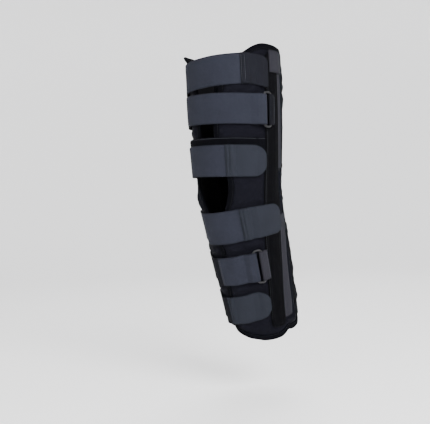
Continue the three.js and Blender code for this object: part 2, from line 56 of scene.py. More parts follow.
# Materials' thicknesses and widths
PANEL_THICKNESS = 0.0045
BINDING_THICKNESS = 0.001
BINDING_WIDTH = 0.008
PAD_THICKNESS = 0.0035
STRIP_THICKNESS = 0.0015
PATCH_THICKNESS = 0.0012
STRAP_WIDTH = 0.049
STRAP_THICKNESS = 0.0018
TAB_THICKNESS = 0.0016
BAND_THICKNESS = 0.0012
LAYER_GAP = 0.0004
SQUEEZE = BINDING_THICKNESS + LAYER_GAP
ON_PANEL = PANEL_THICKNESS + LAYER_GAP
FLAP_LIFT = ON_PANEL
TOP_CORNER_FLARE = 0.008

# Rings and the loops that hold them
RING_WIRE_RADIUS = 0.0016
RING_SLOT = 0.0075
RING_CORNER_RADIUS = 0.004
RING_SIDE_CLEARANCE = 0.0012
LOOP_THICKNESS = 0.0014
LOOP_REACH = 0.010

# Finish of the sewn pieces
PANEL_CORNER_RADIUS = 0.010
PANEL_TUCK = 0.003
PANEL_CROWN = 0.0012
PANEL_SWELL_LENGTH = 0.045
FOLD_LENGTH = 0.016
FOLD_DEPTH = 0.0012
KNIT_RIB = 0.0034
KNIT_RIB_DEPTH = 0.00012
KNIT_SWAY_LENGTH = 0.05
SLACK_FADE = 0.010
SQUEEZE_SPREAD = 0.0045
SQUEEZE_OVERLAP = 0.0005
BINDING_PUFF = 0.0003
BINDING_PUFF_LENGTH = 0.012
BINDING_CLEARANCE = 0.0002
BINDING_STITCH = 0.84
PAD_EDGE_ROUND = 0.0030
PAD_SEAM_INSET = 0.0048
PAD_EDGE_STITCH = 0.0018
PAD_CORNER = 0.009
STRIP_CORNER = 0.0012
PAD_RIB = 0.0062
PAD_RIB_DEPTH = 0.00035
PAD_SEAM_DEPTH = 0.0009
PAD_SEAM_SPREAD = 0.0009
PAD_SEAM_SINK = 0.0006
PAD_EDGE_LEVEL = 0.84
PAD_RIDGE = 0.0008
PAD_RIDGE_SPREAD = 0.009
PAD_SWELL = 0.0005
PAD_SWELL_LENGTH = 0.03
PAD_SWELL_FADE = (0.004, 0.01)
PAD_RIB_FADE = (0.005, 0.008)
SEAM_ROWS = (-2.0, 2.0)
ANCHOR_ROWS = (1.6, 4.4)
HEM_ROWS = (1.6, 3.8)
LOOP_ROWS = (0.0014, 0.0034)
ROW_INSET = 0.0018
STRIP_ROW_INSET = 0.0016
SEAM_GROOVE = 0.0011
SEAM_SPREAD = 0.0009
SEAM_ROW_SINK = 0.85 * SEAM_GROOVE
CROSS_ROW_INSET = 0.0025
STITCH_LENGTH = 0.0026
STITCH_PITCH = 0.0036
STITCH_RADIUS = 0.00028
STITCH_BREADTH = 1.3
STITCH_STAND = 0.00005
CLOTH_STEP = 0.0017
WEBBING_STEP = 0.0022
WEBBING_EDGE = 0.0011
WEBBING_ROUND = 0.55
STRAP_STEP = 1.0
TAB_STEP = 0.35
STRAP_RIPPLE = 0.00045
RIPPLE_LENGTH = 0.035
RIPPLE_REACH = 0.014
CLOTH_GRID = 0.005
CLOTH_GROWTH = 0.08
CLOTH_BENDING = 0.05
CLOTH_STIFFNESS = 20
CLOTH_MASS = 0.2
CLOTH_QUALITY = 6
CLOTH_HELD = 0.4
CLOTH_PRESSURE = 0.3
CLOTH_FRAMES = 20
CLOTH_START = 0.00015
CLOTH_START_LENGTH = 0.02
CLOTH_SINK = 0.0010
CLOTH_RISE = 0.0035

BINDING_SEED = 40
PAD_SEED = 60
STRAP_SEED = 80
TAB_SEED = 90
RING_LOOP_SEED = 7

# The limb's form and the borders of what lies on it. Heights are shares of the length above the
# knee or below it
FORM = {
    "height": (-1.0, -0.7, -0.45, -0.18, 0.0, 0.2, 0.52, 0.8, 1.0),
    "end": (1.0, 0.7, 0.35, 0.2, 0.0, 0.375, 0.875, 1.0, 1.0),
    "front": (0.0, 0.0, -0.1, 0.0, 0.67, 0.67, 0.67, 0.7, 1.0),
    "back": (0.8, 1.0, 0.9, 0.4, 0.0, 0.3, 0.2, 0.2, 0.2),
}
OUTER_FRONT = {
    "height": (-1.0, -0.62, -0.33, -0.26, -0.16, -0.05, 0.0, 0.07, 0.15, 0.36, 0.45, 0.7, 0.9),
    "angle": (-16, -11, -5, -8, 3, 14.5, 19.5, 23, 21, 9, 8, 17, 21),
}
OUTER_REAR = {"height": (-1.0, -0.4, -0.2, 1.0), "angle": (113, 115, 118, 118)}
OUTER_TOP = {"angle": (16, 30, 46, 60, 75, 118), "height": (0.86, 0.885, 0.928, 0.975, 1.0, 0.99)}
OUTER_BOTTOM = {
    "angle": (-17, -10, 12, 30, 48, 62, 71, 78, 86, 97, 113),
    "height": (
        -0.885, -0.925, -0.974, -1.003, -1.01, -1.008, -0.994, -0.977, -0.986, -0.99, -0.985
    ),
}
INNER_FRONT = {
    "height": (-0.9, -0.35, -0.17, -0.07, 0.01, 0.09, 0.18, 0.36, 0.45, 0.7, 0.8, 0.9, 1.0),
    "angle": (3, 2, -8, -21, -32, -43, -40, -21, -17, -19, -27, -43, -48),
}
INNER_REAR = {"height": (-1.0, 1.0), "angle": (-114, -118)}
INNER_TOP = 0.99
INNER_BOTTOM = {"angle": (-118, -60, 3), "height": (-0.93, -0.905, -0.9)}
BACK_JOINT = 2 * BINDING_THICKNESS + 3 * LAYER_GAP
BINDING_REACH = BACK_JOINT / 2 - 0.00004
BACK_TOP = 0.985
BACK_BOTTOM = {
    "angle": (112, 130, 155, 180, 205, 230, 248),
    "height": (-0.955, -0.925, -0.895, -0.89, -0.895, -0.91, -0.925),
}
OUTER_PAD = {
    "height": (-0.93, -0.75, -0.47, -0.33, -0.14, 0.03, 0.2, 0.5, 0.94),
    "front": (48, 51, 56, 59, 64.5, 70, 72.5, 73.5, 75),
    "rear": (72.5, 75.5, 82.5, 87, 95.5, 97, 96.5, 95, 95),
}
INNER_PAD = {"height": (-0.85, 0.93), "front": (-100, -100), "rear": (-72, -72)}
THIGH_STRIP = {"height": (0.17, 0.5, 0.93), "rear": (107, 103.5, 103.5)}
CALF_STRIP = {
    "height": (-0.88, -0.79, -0.48, -0.35, -0.16),
    "rear": (90.5, 93.5, 95.5, 100.5, 110),
}
PATCH = {"front": 79, "rear": 105, "bottom": 0.81, "top": 0.96}

STRAPS = {
    "thigh_strap_upper": dict(
        height=0.827, rise=0.003, droop=-0.009, bow=0.0032,
        climbed=70, seam=47, tip=77, corner=0.008,
    ),
    "thigh_strap_lower": dict(
        height=0.572, rise=-0.008, droop=0, bow=0.0034,
        climbed=62, bar=69, end=-40,
    ),
    "knee_strap_upper": dict(
        height=0.229, rise=-0.006, droop=0, bow=0.0035,
        climbed=69, seam=25, tip=71.5, corner=0.019,
    ),
    "knee_strap_lower": dict(
        height=-0.163, rise=0.007, droop=-0.005, bow=0,
        climbed=55, seam=35, tip=91, corner=0.017,
    ),
    "calf_strap_upper": dict(
        height=-0.468, rise=0.006, droop=0, bow=0,
        climbed=34, bar=40, end=-12,
    ),
    "calf_strap_lower": dict(
        height=-0.757, rise=0.010, droop=0, bow=0,
        climbed=44, seam=-10, tip=52.5, corner=0.021,
    ),
}
STRAP_START = -97
STRAP_LEVEL_UNTIL = -30

# Where a form comes in or goes out: angles round the limb, or shares of its length
FLAP_ROUND = (26, 8)
FLAP_BELOW = (-0.1, -0.2)
CORNER_RISE = (0.92, 0.99)
CORNER_FRONT = -50
LAP_IN = (-44, -20)
LAP_OUT = (30, 12)
LAP_BELOW = (-0.04, -0.14)
BOW_IN = (-90, -55)
BOW_OUT = (0, -45)
PRESS_START = 6
PRESS_STOP = (12, 4)
PRESS_MARGIN = 0.002
PRESS_FADE = 0.007
PAD_FADE = (5, 1)
INNER_PAD_FADE = 3
STRIP_REACH = 0.02

# Tabs, turned ends and pads
SEAM_LAP = 3.2
SEAM_DROP = 6.5
TURN_SETTLE = 14
TURN_STATIONS = 4
PAD_CLIMB = 8
BAND = {"under": "knee_strap_upper", "above": 0.012, "end": 71}


def mix(a, b, t):
    """From a at t = 0 to b at t = 1."""
    return a + (b - a) * t


def ramp(x, start, stop):
    """A straight step from 0 at start to 1 at stop, in either order."""
    return np.clip((x - start) / (stop - start), 0, 1)


def ease(x, start, stop):
    """A smooth step: 3t^2 - 2t^3 of the straight one."""
    t = ramp(x, start, stop)
    return t * t * (3 - 2 * t)


def read(table, key, column, x):
    """One column of a table at x: cubic pieces that leave each row with its neighbours' slope."""
    k, c = np.asarray(table[key], float), np.asarray(table[column], float)
    rows = np.arange(len(k))
    before, after = np.maximum(rows - 1, 0), np.minimum(rows + 1, len(k) - 1)
    slope = (c[after] - c[before]) / (k[after] - k[before])
    x = np.clip(x, k[0], k[-1])
    i = np.clip(np.searchsorted(k, x, side="right") - 1, 0, len(k) - 2)
    span = k[i + 1] - k[i]
    t = (x - k[i]) / span
    leaving = c[i] * (1 + 2 * t) * (1 - t) ** 2 + slope[i] * span * t * (1 - t) ** 2
    return leaving + c[i + 1] * t * t * (3 - 2 * t) - slope[i + 1] * span * t * t * (1 - t)


def by_height(table, column):
    """A column of a table as a function of the height along the limb."""
    return lambda height: read(table, "height", column, share_of(height))


def by_angle(table):
    """The heights of an end's table as a function of the angle."""
    return lambda angle: height_of(read(table, "angle", "height", angle))


def height_of(share):
    """Metres along the limb from the knee, from a share of the thigh's or the calf's length."""
    share = np.asarray(share, float)
    return share * np.where(share > 0, THIGH_LENGTH, CALF_LENGTH)


def share_of(height):
    """The same the other way round."""
    height = np.asarray(height, float)
    return height / np.where(height > 0, THIGH_LENGTH, CALF_LENGTH)


def section(height):
    """Half width, front depth and back depth of the limb at a height."""
    share = share_of(height)
    far = np.where(share > 0, THIGH_HALF_WIDTH, HEM_HALF_WIDTH)
    half = mix(KNEE_HALF_WIDTH, far, read(FORM, "height", "end", share))
    front = half + THIGH_FRONT_BULGE * read(FORM, "height", "front", share)
    back = half + CALF_BULGE * read(FORM, "height", "back", share)
    return half, front, back


FLEX = np.radians(KNEE_FLEX)
BEND_RADIUS = BEND_LENGTH / FLEX


def middle_line(height):
    """Turn, y and z of the limb's middle line: straight, an arc at the knee, straight again."""
    turn = np.clip((BEND_LENGTH / 2 - height) / BEND_RADIUS, 0, FLEX)
    below = np.minimum(height + BEND_LENGTH / 2, 0)
    above = np.maximum(height - BEND_LENGTH / 2, 0)
    y = BEND_RADIUS * (1 - np.cos(turn)) - below * np.sin(FLEX)
    z = BEND_LENGTH / 2 - BEND_RADIUS * np.sin(turn) + below * np.cos(FLEX) + above
    return turn, y, z


def point(height, angle, offset):
    """A point of the limb: an ellipse round the middle line, square to it, pushed out by offset."""
    height, angle, offset = np.broadcast_arrays(height, angle, offset)
    half, front, back = section(height)
    turn, y, z = middle_line(height)
    _, knee_y, knee_z = middle_line(0.0)
    a = np.radians(angle)
    forward = (np.where(np.cos(a) > 0, front, back) + offset) * np.cos(a)
    x = (half + offset) * np.sin(a)
    return np.stack(
        [x, y - knee_y - np.cos(turn) * forward, z - knee_z - np.sin(turn) * forward], axis=-1
    )


def per_degree(height):
    """Metres round the limb for each degree."""
    return np.radians(section(height)[0] + PANEL_THICKNESS)


def unit(vectors):
    """Vectors made one long."""
    return vectors / np.linalg.norm(vectors, axis=-1, keepdims=True)


def path_reach(path):
    """How far along a path each of its points is."""
    gaps = np.linalg.norm(np.diff(path, axis=0), axis=1)
    return np.concatenate([[0], np.cumsum(gaps)])


def grid(rows, columns):
    """Two arrays that hold every pair of a value of rows and a value of columns."""
    return np.meshgrid(rows, columns, indexing="ij")


def waves(x, y, seed, length, count=5):
    """Irregular swell from -1 to 1: a sum of plane waves of about one length, in directions that
    are drawn with a seed."""
    rng = np.random.default_rng(seed)
    total = np.zeros(np.broadcast(x, y).shape)
    for _ in range(count):
        turn, phase = rng.uniform(0, 2 * np.pi, 2)
        k = 2 * np.pi / (length * rng.uniform(0.7, 1.5))
        total = total + np.sin(k * (np.cos(turn) * x + np.sin(turn) * y) + phase)
    return total / count


# Meshes


def placed(name, data):
    """A new object of the scene with its data."""
    made = bpy.data.objects.new(name, data)
    bpy.context.scene.collection.objects.link(made)
    return made


def mesh_object(name, points, quads, uv, edge):
    """A smooth mesh object from arrays: points, quads, UV in metres and distance from its edge."""
    mesh = bpy.data.meshes.new(name)
    mesh.vertices.add(len(points))
    mesh.vertices.foreach_set("co", np.ascontiguousarray(points, np.float32).ravel())
    mesh.loops.add(quads.size)
    mesh.loops.foreach_set("vertex_index", np.ascontiguousarray(quads, np.int32).ravel())
    mesh.polygons.add(len(quads))
    mesh.polygons.foreach_set("loop_start", np.arange(0, quads.size, 4, dtype=np.int32))
    mesh.polygons.foreach_set("use_smooth", np.ones(len(quads), bool))
    mesh.update(calc_edges=True)
    layer = mesh.uv_layers.new(name="UVMap")
    layer.data.foreach_set("uv", np.ascontiguousarray(uv[quads.ravel()], np.float32).ravel())
    held = mesh.attributes.new("edge_distance", "FLOAT", "POINT")
    held.data.foreach_set("value", np.ascontiguousarray(edge, np.float32))
    mesh.validate()
    return placed(name, mesh)


def grid_quads(rows, columns, start=0, flip=False):
    """The quads of a grid of points, as indices."""
    i, j = grid(np.arange(rows - 1), np.arange(columns - 1))
    a = start + i * columns + j
    quads = np.stack([a, a + columns, a + columns + 1, a + 1], axis=-1).reshape(-1, 4)
    return quads[:, ::-1] if flip else quads


def rim_indices(rows, columns):
    """The grid's border, once round."""
    index = np.arange(rows * columns).reshape(rows, columns)
    return np.concatenate([index[:-1, 0], index[-1, :-1], index[:0:-1, -1], index[0, :0:-1]])


def signed_volume(points, quads):
    """Six times the volume that the quads close, by the tetrahedra to the origin."""
    a, b, c, d = (points[quads[:, k]] for k in range(4))
    return np.sum(a * np.cross(b, c)) + np.sum(a * np.cross(c, d))


def closed(name, points, quads, uv, edge):
    """A closed mesh whose faces are turned to point out."""
    if signed_volume(points, quads) < 0:
        quads = quads[:, ::-1]
    return mesh_object(name, points, quads, uv, edge)


def sheet(name, outer, inner, u, v, edge):
    """A sheet with two faces on one grid, joined round its border."""
    rows, columns = outer.shape[:2]
    u, v, edge = (np.broadcast_to(part, (rows, columns)) for part in (u, v, edge))
    count = rows * columns
    points = np.concatenate([outer.reshape(-1, 3), inner.reshape(-1, 3)])
    rim = rim_indices(rows, columns)
    after = np.roll(rim, -1)
    quads = np.concatenate(
        [
            grid_quads(rows, columns),
            grid_quads(rows, columns, count, flip=True),
            np.stack([rim, rim + count, after + count, after], axis=-1)[:, ::-1],
        ]
    )
    uv = np.stack([u, v], axis=-1).reshape(-1, 2)
    edge = edge.ravel()
    return closed(name, points, quads, np.concatenate([uv, uv]), np.concatenate([edge, edge]))


def tube(name, rings, u, v, edge):
    """A closed section carried round a closed path: rings is stations by sides by 3."""
    stations, sides = rings.shape[:2]
    u, v, edge = (np.broadcast_to(part, rings.shape[:2]) for part in (u, v, edge))
    k, s = grid(np.arange(stations), np.arange(sides))
    a, b = k * sides + s, k * sides + (s + 1) % sides
    c, d = (k + 1) % stations * sides + (s + 1) % sides, (k + 1) % stations * sides + s
    quads = np.stack([a, b, c, d], axis=-1).reshape(-1, 4)
    uv = np.stack([u, v], axis=-1).reshape(-1, 2)
    return closed(name, rings.reshape(-1, 3), quads, uv, edge.ravel())


def fine_steps(length, step, edge):
    """Places from 0 to length: close together within edge of both ends, then step apart."""
    near = edge * np.array([0, 0.12, 0.35, 0.65, 1.0])
    inner = np.linspace(edge, length - edge, max(3, int(round((length - 2 * edge) / step)) + 1))
    return np.concatenate([near[:-1], inner, length - near[-2::-1]])


def rounded(distance, radius, least=0.12):
    """Share of full thickness at a distance from an edge with a round shoulder."""
    t = 1 - np.clip(distance / radius, 0, 1)
    return np.maximum(np.sqrt(np.maximum(1 - t * t, 0)), least)


# The panels


def flap_lift(height, angle):
    """The outer panel's front edge lies over the inner panel below the knee."""
    return FLAP_LIFT * ease(angle, *FLAP_ROUND) * ease(share_of(height), *FLAP_BELOW)


def corner_flare(height, angle):
    """The upper front corner of the inner panel stands off."""
    rising = ease(share_of(height), *CORNER_RISE)
    return TOP_CORNER_FLARE * rising * ease(angle, INNER_PAD["rear"][0], CORNER_FRONT)


def flat_on(height, angle):
    """A panel that lies flat on the limb."""
    return np.zeros(np.broadcast(height, angle).shape)


outer_rear = by_height(OUTER_REAR, "angle")
inner_rear = by_height(INNER_REAR, "angle")

PANELS = {
    "lateral": dict(
        front=by_height(OUTER_FRONT, "angle"),
        rear=outer_rear,
        top=by_angle(OUTER_TOP),
        bottom=by_angle(OUTER_BOTTOM),
        lift=flap_lift,
    ),
    "medial": dict(
        front=inner_rear,
        rear=by_height(INNER_FRONT, "angle"),
        top=lambda a: height_of(INNER_TOP + 0 * a),
        bottom=by_angle(INNER_BOTTOM),
        lift=corner_flare,
    ),
    "posterior": dict(
        front=lambda h: outer_rear(h) + BACK_JOINT / per_degree(h),
        rear=lambda h: 360 + inner_rear(h) - BACK_JOINT / per_degree(h),
        top=lambda a: height_of(BACK_TOP + 0 * a),
        bottom=by_angle(BACK_BOTTOM),
        lift=flat_on,
    ),
}


def spot(panel, u, from_u, v, from_v):
    """Height and angle at shares u and v across a panel, shifted by metres, settled in passes."""
    u, from_u, v, from_v = np.broadcast_arrays(u, from_u, v, from_v)
    height = np.zeros(u.shape)
    angle = mix(panel["front"](0.0), panel["rear"](0.0), u)
    for _ in range(10):
        height = mix(panel["bottom"](angle), panel["top"](angle), v) + from_v
        angle = mix(panel["front"](height), panel["rear"](height), u)
        angle = angle + from_u / per_degree(height)
    return height, angle


def strap_stop(strap):
    """Where a strap's way round ends: at its tab's tip or at its ring's near bar."""
    return strap.get("tip", strap.get("bar"))


def strap_height(strap, angle):
    """Height of a strap's middle at an angle."""
    stop = strap_stop(strap)
    along = ramp(angle, STRAP_LEVEL_UNTIL, stop)
    past = ramp(angle, strap["seam"], stop) if "seam" in strap else 0
    return height_of(strap["height"]) + strap["rise"] * (along - 0.5) + strap["droop"] * past**2


def pressed(height, angle):
    """1 under a strap, falling to 0 beside it."""
    total = np.zeros(np.broadcast(height, angle).shape)
    for name, strap in STRAPS.items():
        extra = BAND["above"] / 2 if name == BAND["under"] else 0
        away = np.abs(height - strap_height(strap, angle) - extra) - STRAP_WIDTH / 2 - extra
        starting = ease(angle, STRAP_START - PRESS_START, STRAP_START)
        far, near = (strap_stop(strap) + past for past in PRESS_STOP)
        beside = ease(away, PRESS_MARGIN + PRESS_FADE, PRESS_MARGIN)
        total = np.maximum(total, beside * (starting * ease(angle, far, near)))
    return total


def pad_cover(height, angle):
    """1 where a side pad or a strip beside it lies on the panels."""
    share = share_of(height)
    front, rear = (read(OUTER_PAD, "height", c, share) for c in ("front", "rear"))
    for strip in (THIGH_STRIP, CALF_STRIP):
        low, high = strip["height"][0] - STRIP_REACH, strip["height"][-1] + STRIP_REACH
        beside = (share > low) & (share < high)
        rear = np.where(beside, np.maximum(rear, read(strip, "height", "rear", share)), rear)
    far, near = PAD_FADE
    outer = ease(angle, front - far, front - near) * ease(angle, rear + far, rear + near)
    front, rear = INNER_PAD["front"][0], INNER_PAD["rear"][0]
    inner = ease(angle, front - INNER_PAD_FADE, front) * ease(angle, rear + INNER_PAD_FADE, rear)
    return np.maximum(outer, inner)


def buckled(place, held):
    """How far a sheet of cloth stands out where nothing holds it, from a cloth simulation. The
    sheet is a little too long for its place, so it buckles between what holds it down."""
    rows, columns = held.shape
    points = place.reshape(-1, 3)
    blank = np.zeros((rows * columns, 2))
    made = mesh_object("slack", points, grid_quads(rows, columns), blank, blank[:, 0])
    group = made.vertex_groups.new(name="held")
    for index in np.flatnonzero(held.ravel() > CLOTH_HELD):
        group.add([int(index)], 1.0, "ADD")
    cloth = made.modifiers.new("Cloth", "CLOTH").settings
    cloth.quality = CLOTH_QUALITY
    cloth.mass = CLOTH_MASS
    cloth.tension_stiffness = cloth.compression_stiffness = CLOTH_STIFFNESS
    cloth.bending_stiffness = CLOTH_BENDING
    cloth.shrink_min = cloth.shrink_max = -CLOTH_GROWTH
    cloth.vertex_group_mass = "held"
    cloth.effector_weights.gravity = 0
    cloth.use_pressure = True
    cloth.uniform_pressure_force = CLOTH_PRESSURE
    scene = bpy.context.scene
    for frame_number in range(1, CLOTH_FRAMES + 1):
        scene.frame_set(frame_number)
    moved = made.evaluated_get(bpy.context.evaluated_depsgraph_get()).data
    after = np.empty(len(points) * 3, np.float32)
    moved.vertices.foreach_get("co", after)
    scene.frame_set(1)
    mesh = made.data
    bpy.data.objects.remove(made)
    bpy.data.meshes.remove(mesh)
    return (after.reshape(-1, 3) - points).reshape(rows, columns, 3)


def panel_shares(panel, step):
    """Shares across a panel and up it, about a step apart."""
    across = per_degree(0.0) * (panel["rear"](0.0) - panel["front"](0.0))
    tall = panel["top"](0.0) - panel["bottom"](0.0)
    return np.linspace(0, 1, int(across / step)), np.linspace(0, 1, int(tall / step))


def slack(panel, fine_u, fine_v, seed):
    """The simulated slack of a panel, from a coarse grid to a fine one, capped both ways."""
    u, v = panel_shares(panel, CLOTH_GRID)
    every_u, every_v = grid(u, v)
    height, angle = spot(panel, every_u, 0.0, every_v, 0.0)
    edge = border_distance(panel, height, angle)
    held = np.maximum(pressed(height, angle), pad_cover(height, angle))
    held = np.maximum(held, (edge < BINDING_WIDTH).astype(float))
    start = CLOTH_START * waves(angle * per_degree(height), height, seed, CLOTH_START_LENGTH)
    moved = buckled(point(height, angle, PANEL_THICKNESS + start), held)
    out = np.sum(moved * outward(height, angle, PANEL_THICKNESS), axis=-1)
    out = np.clip(out, -CLOTH_SINK, CLOTH_RISE)
    coarse = np.stack([np.interp(fine_u, u, out[:, k]) for k in range(len(v))], axis=1)
    return smoothed(smoothed(np.stack([np.interp(fine_v, v, row) for row in coarse])).T).T


def border_distance(panel, height, angle):
    """Distance in from a panel's border."""
    scale = per_degree(height)
    sides = np.minimum(angle - panel["front"](height), panel["rear"](height) - angle) * scale
    ends = np.minimum(height - panel["bottom"](angle), panel["top"](angle) - height)
    return np.minimum(sides, ends)


def panel_piece(name, panel, seed):
    """A padded panel: foam laminate squeezed thin under its binding, crowned between the straps,
    with fine cross ribs and slack folds where nothing presses on it."""
    u, v = panel_shares(panel, CLOTH_STEP)
    hang = slack(panel, u, v, seed)
    u, v = grid(u, v)
    height, angle = spot(panel, u, PANEL_TUCK * (1 - 2 * u), v, PANEL_TUCK * (1 - 2 * v))
    x = angle * per_degree(height)
    edge = border_distance(panel, height, angle)
    free = (1 - pressed(height, angle)) * (1 - pad_cover(height, angle))
    free = free * ease(edge, BINDING_WIDTH, BINDING_WIDTH + SLACK_FADE)
    bound = ease(edge, BINDING_WIDTH + SQUEEZE_SPREAD, BINDING_WIDTH - SQUEEZE_OVERLAP)
    swell = 0.5 + 0.5 * waves(x, 0.35 * height, seed, PANEL_SWELL_LENGTH)
    folds = np.maximum(waves(0.35 * x, height, seed + 1, FOLD_LENGTH), 0) ** 1.5
    sway = 2 * waves(x, height, seed + 2, KNIT_SWAY_LENGTH)
    ribs = KNIT_RIB_DEPTH * np.sin(2 * np.pi * height / KNIT_RIB + sway)
    stand = PANEL_CROWN * (0.4 + swell) + FOLD_DEPTH * folds * swell + hang
    relief = free * stand + ribs * (1 - bound)
    lift = panel["lift"](height, angle)
    outer = point(height, angle, lift + PANEL_THICKNESS - SQUEEZE * bound + relief)
    inner = point(height, angle, lift + SQUEEZE * bound)
    made = sheet(name, outer, inner, x, height, edge)
    facing = np.zeros(len(made.data.polygons), np.int32)
    count = (u.shape[0] - 1) * (u.shape[1] - 1)
    facing[count : 2 * count] = 1
    made.data.materials.append(LAMINATE)
    made.data.materials.append(LINING)
    made.data.polygons.foreach_set("material_index", facing)
    return made


def rim_path():
    """A rounded rectangle's border in shares and metres: functions of the distance inward."""
    t = np.linspace(0, 1, 90, endpoint=False)
    tall = np.linspace(0, 1, 190, endpoint=False)
    turn = np.linspace(0, np.pi / 2, 9, endpoint=False)
    radius = PANEL_CORNER_RADIUS

    def at(inward):
        near = radius - (radius - inward) * np.sin(turn)
        far = radius - (radius - inward) * np.cos(turn)
        run, rise = radius * (1 - 2 * t), radius * (1 - 2 * tall)
        parts = [
            (t, run, 0, inward),
            (1, -near, 0, far),
            (1, -inward, tall, rise),
            (1, -far, 1, -near),
            (1 - t, -run, 1, -inward),
            (0, near, 1, -far),
            (0, inward, 1 - tall, -rise),
            (0, far, 0, near),
        ]
        parts = [np.broadcast_arrays(*part) for part in parts]
        return [np.concatenate(column) for column in zip(*parts)]

    return at


def binding_piece(name, panel, seed):
    """A tape folded over the panel's edge: a U of two leaves, carried round a rounded border."""
    at = rim_path()
    leaf = np.array([1.0, 0.97, 0.8, 0.55, 0.3, 0.1])
    half = PANEL_THICKNESS / 2
    fold = np.linspace(0, np.pi, 9)[1:-1]
    inner_half = half - BINDING_THICKNESS
    front_leaf, back_leaf = leaf * BINDING_WIDTH, leaf[::-1] * BINDING_WIDTH
    outer_reach = np.concatenate([front_leaf, -BINDING_REACH * np.sin(fold), back_leaf])
    inner_reach = np.concatenate([front_leaf, BINDING_CLEARANCE - 0 * fold, back_leaf])

    def leaf_offset(level):
        return np.concatenate([level + 0 * leaf, level * np.cos(fold), -level - 0 * leaf])

    reach = np.concatenate([outer_reach, inner_reach[::-1]])
    offset = np.concatenate([leaf_offset(half), leaf_offset(inner_half)[::-1]])
    arch = np.sin(np.pi * np.clip(outer_reach / BINDING_WIDTH, 0, 1))
    swell = np.concatenate([arch, 0 * inner_reach])
    rings = []
    for r, o, s in zip(reach, offset, swell):
        height, angle = spot(panel, *at(r))
        lift = panel["lift"](height, angle)
        x = angle * per_degree(height)
        puff = BINDING_PUFF * s * (1 + 0.6 * waves(x, height, seed, BINDING_PUFF_LENGTH))
        rings.append(point(height, angle, lift + half + o + puff * np.sign(o)))
    rings = np.stack(rings, axis=1)
    around = path_reach(rings[:, 0])[:, None]
    return tube(name, rings, around, reach + np.sign(offset) * BINDING_WIDTH, np.abs(reach))


# Stitches


def capsule(sides=6, rings=5):
    """A stitch: a slim spindle along x, from -0.5 to 0.5, with a radius of 1."""
    along = -0.5 * np.cos(np.linspace(0, np.pi, rings))
    girth = np.sqrt(np.maximum(1 - (2 * along) ** 4, 0.02))
    turn = np.arange(sides) * 2 * np.pi / sides
    points = np.stack(
        [
            np.repeat(along, sides),
            np.outer(girth, np.cos(turn)).ravel(),
            np.outer(girth, np.sin(turn)).ravel(),
        ],
        axis=-1,
    )
    k, s = grid(np.arange(rings - 1), np.arange(sides))
    a, b = k * sides + s, k * sides + (s + 1) % sides
    quads = np.stack([a, b, b + sides, a + sides], axis=-1).reshape(-1, 4)
    caps = [[0, 5, 2, 1], [2, 5, 4, 3]]
    last = (rings - 1) * sides
    caps += [[last, last + 1, last + 2, last + 5], [last + 2, last + 3, last + 4, last + 5]]
    return points, np.concatenate([quads, np.array(caps)])


def stitch_row(path, out):
    """Where a row of stitches lies along a path: centres, directions and outward normals."""
    reach = path_reach(path)
    places = np.arange(STITCH_PITCH / 2, reach[-1] - STITCH_PITCH / 4, STITCH_PITCH)

    def along(line, at):
        return np.stack([np.interp(at, reach, line[:, k]) for k in range(3)], -1)

    ahead = along(path, places + STITCH_LENGTH / 2)
    behind = along(path, places - STITCH_LENGTH / 2)
    return along(path, places), ahead - behind, along(out, places)


def stitching(name, rows):
    """All rows of stitches of one piece, as one mesh of spindles."""
    base, quads = capsule()
    centre, along, out = (np.concatenate(part) for part in zip(*(stitch_row(*row) for row in rows)))
    along = unit(along)
    out = unit(out - along * np.sum(out * along, axis=1, keepdims=True))
    side = np.cross(out, along)
    size = np.array([STITCH_LENGTH, STITCH_RADIUS * STITCH_BREADTH, STITCH_RADIUS])
    local = base * size
    points = (
        centre[:, None]
        + local[None, :, :1] * along[:, None]
        + local[None, :, 1:2] * side[:, None]
        + local[None, :, 2:] * out[:, None]
    ).reshape(-1, 3)
    count = len(centre)
    faces = (quads[None] + (np.arange(count) * len(base))[:, None, None]).reshape(-1, 4)
    uv = np.tile(local[:, :2], (count, 1))
    return closed(name, points, faces, uv, np.full(len(points), STITCH_RADIUS))


def outward(height, angle, offset):
    """The direction out of the limb at a point."""
    return unit(point(height, angle, offset + 0.001) - point(height, angle, offset))


def surface_row(height, angle, offset):
    """A stitch path on a surface: its points and its outward directions."""
    height, angle, offset = np.broadcast_arrays(height, angle, offset)
    return point(height, angle, offset), outward(height, angle, offset)


# Pads and strips on the panels


def patch_grid(table, front, rear, margin, corner):
    """Heights and angles of a patch between two edges, with close steps near its border and round
    corners: near an end the edges draw in by the corner's radius less its circle's half chord."""
    low, high = height_of(table["height"][0]), height_of(table["height"][-1])
    heights = low + fine_steps(high - low, CLOTH_STEP, margin)
    width = np.mean((rear(heights) - front(heights)) * per_degree(heights))
    shares = fine_steps(width, CLOTH_STEP, margin) / width
    share, height = grid(shares, heights)
    scale = per_degree(height)
    ends = np.minimum(height - low, high - height)
    short = np.clip(corner - ends, 0, corner)
    drawn_in = (corner - np.sqrt(corner**2 - short**2)) / scale
    left, right = front(height) + drawn_in, rear(height) - drawn_in
    angle = mix(left, right, share)
    sides = np.minimum(angle - left, right - angle) * scale
    return height, angle, np.minimum(sides, ends)


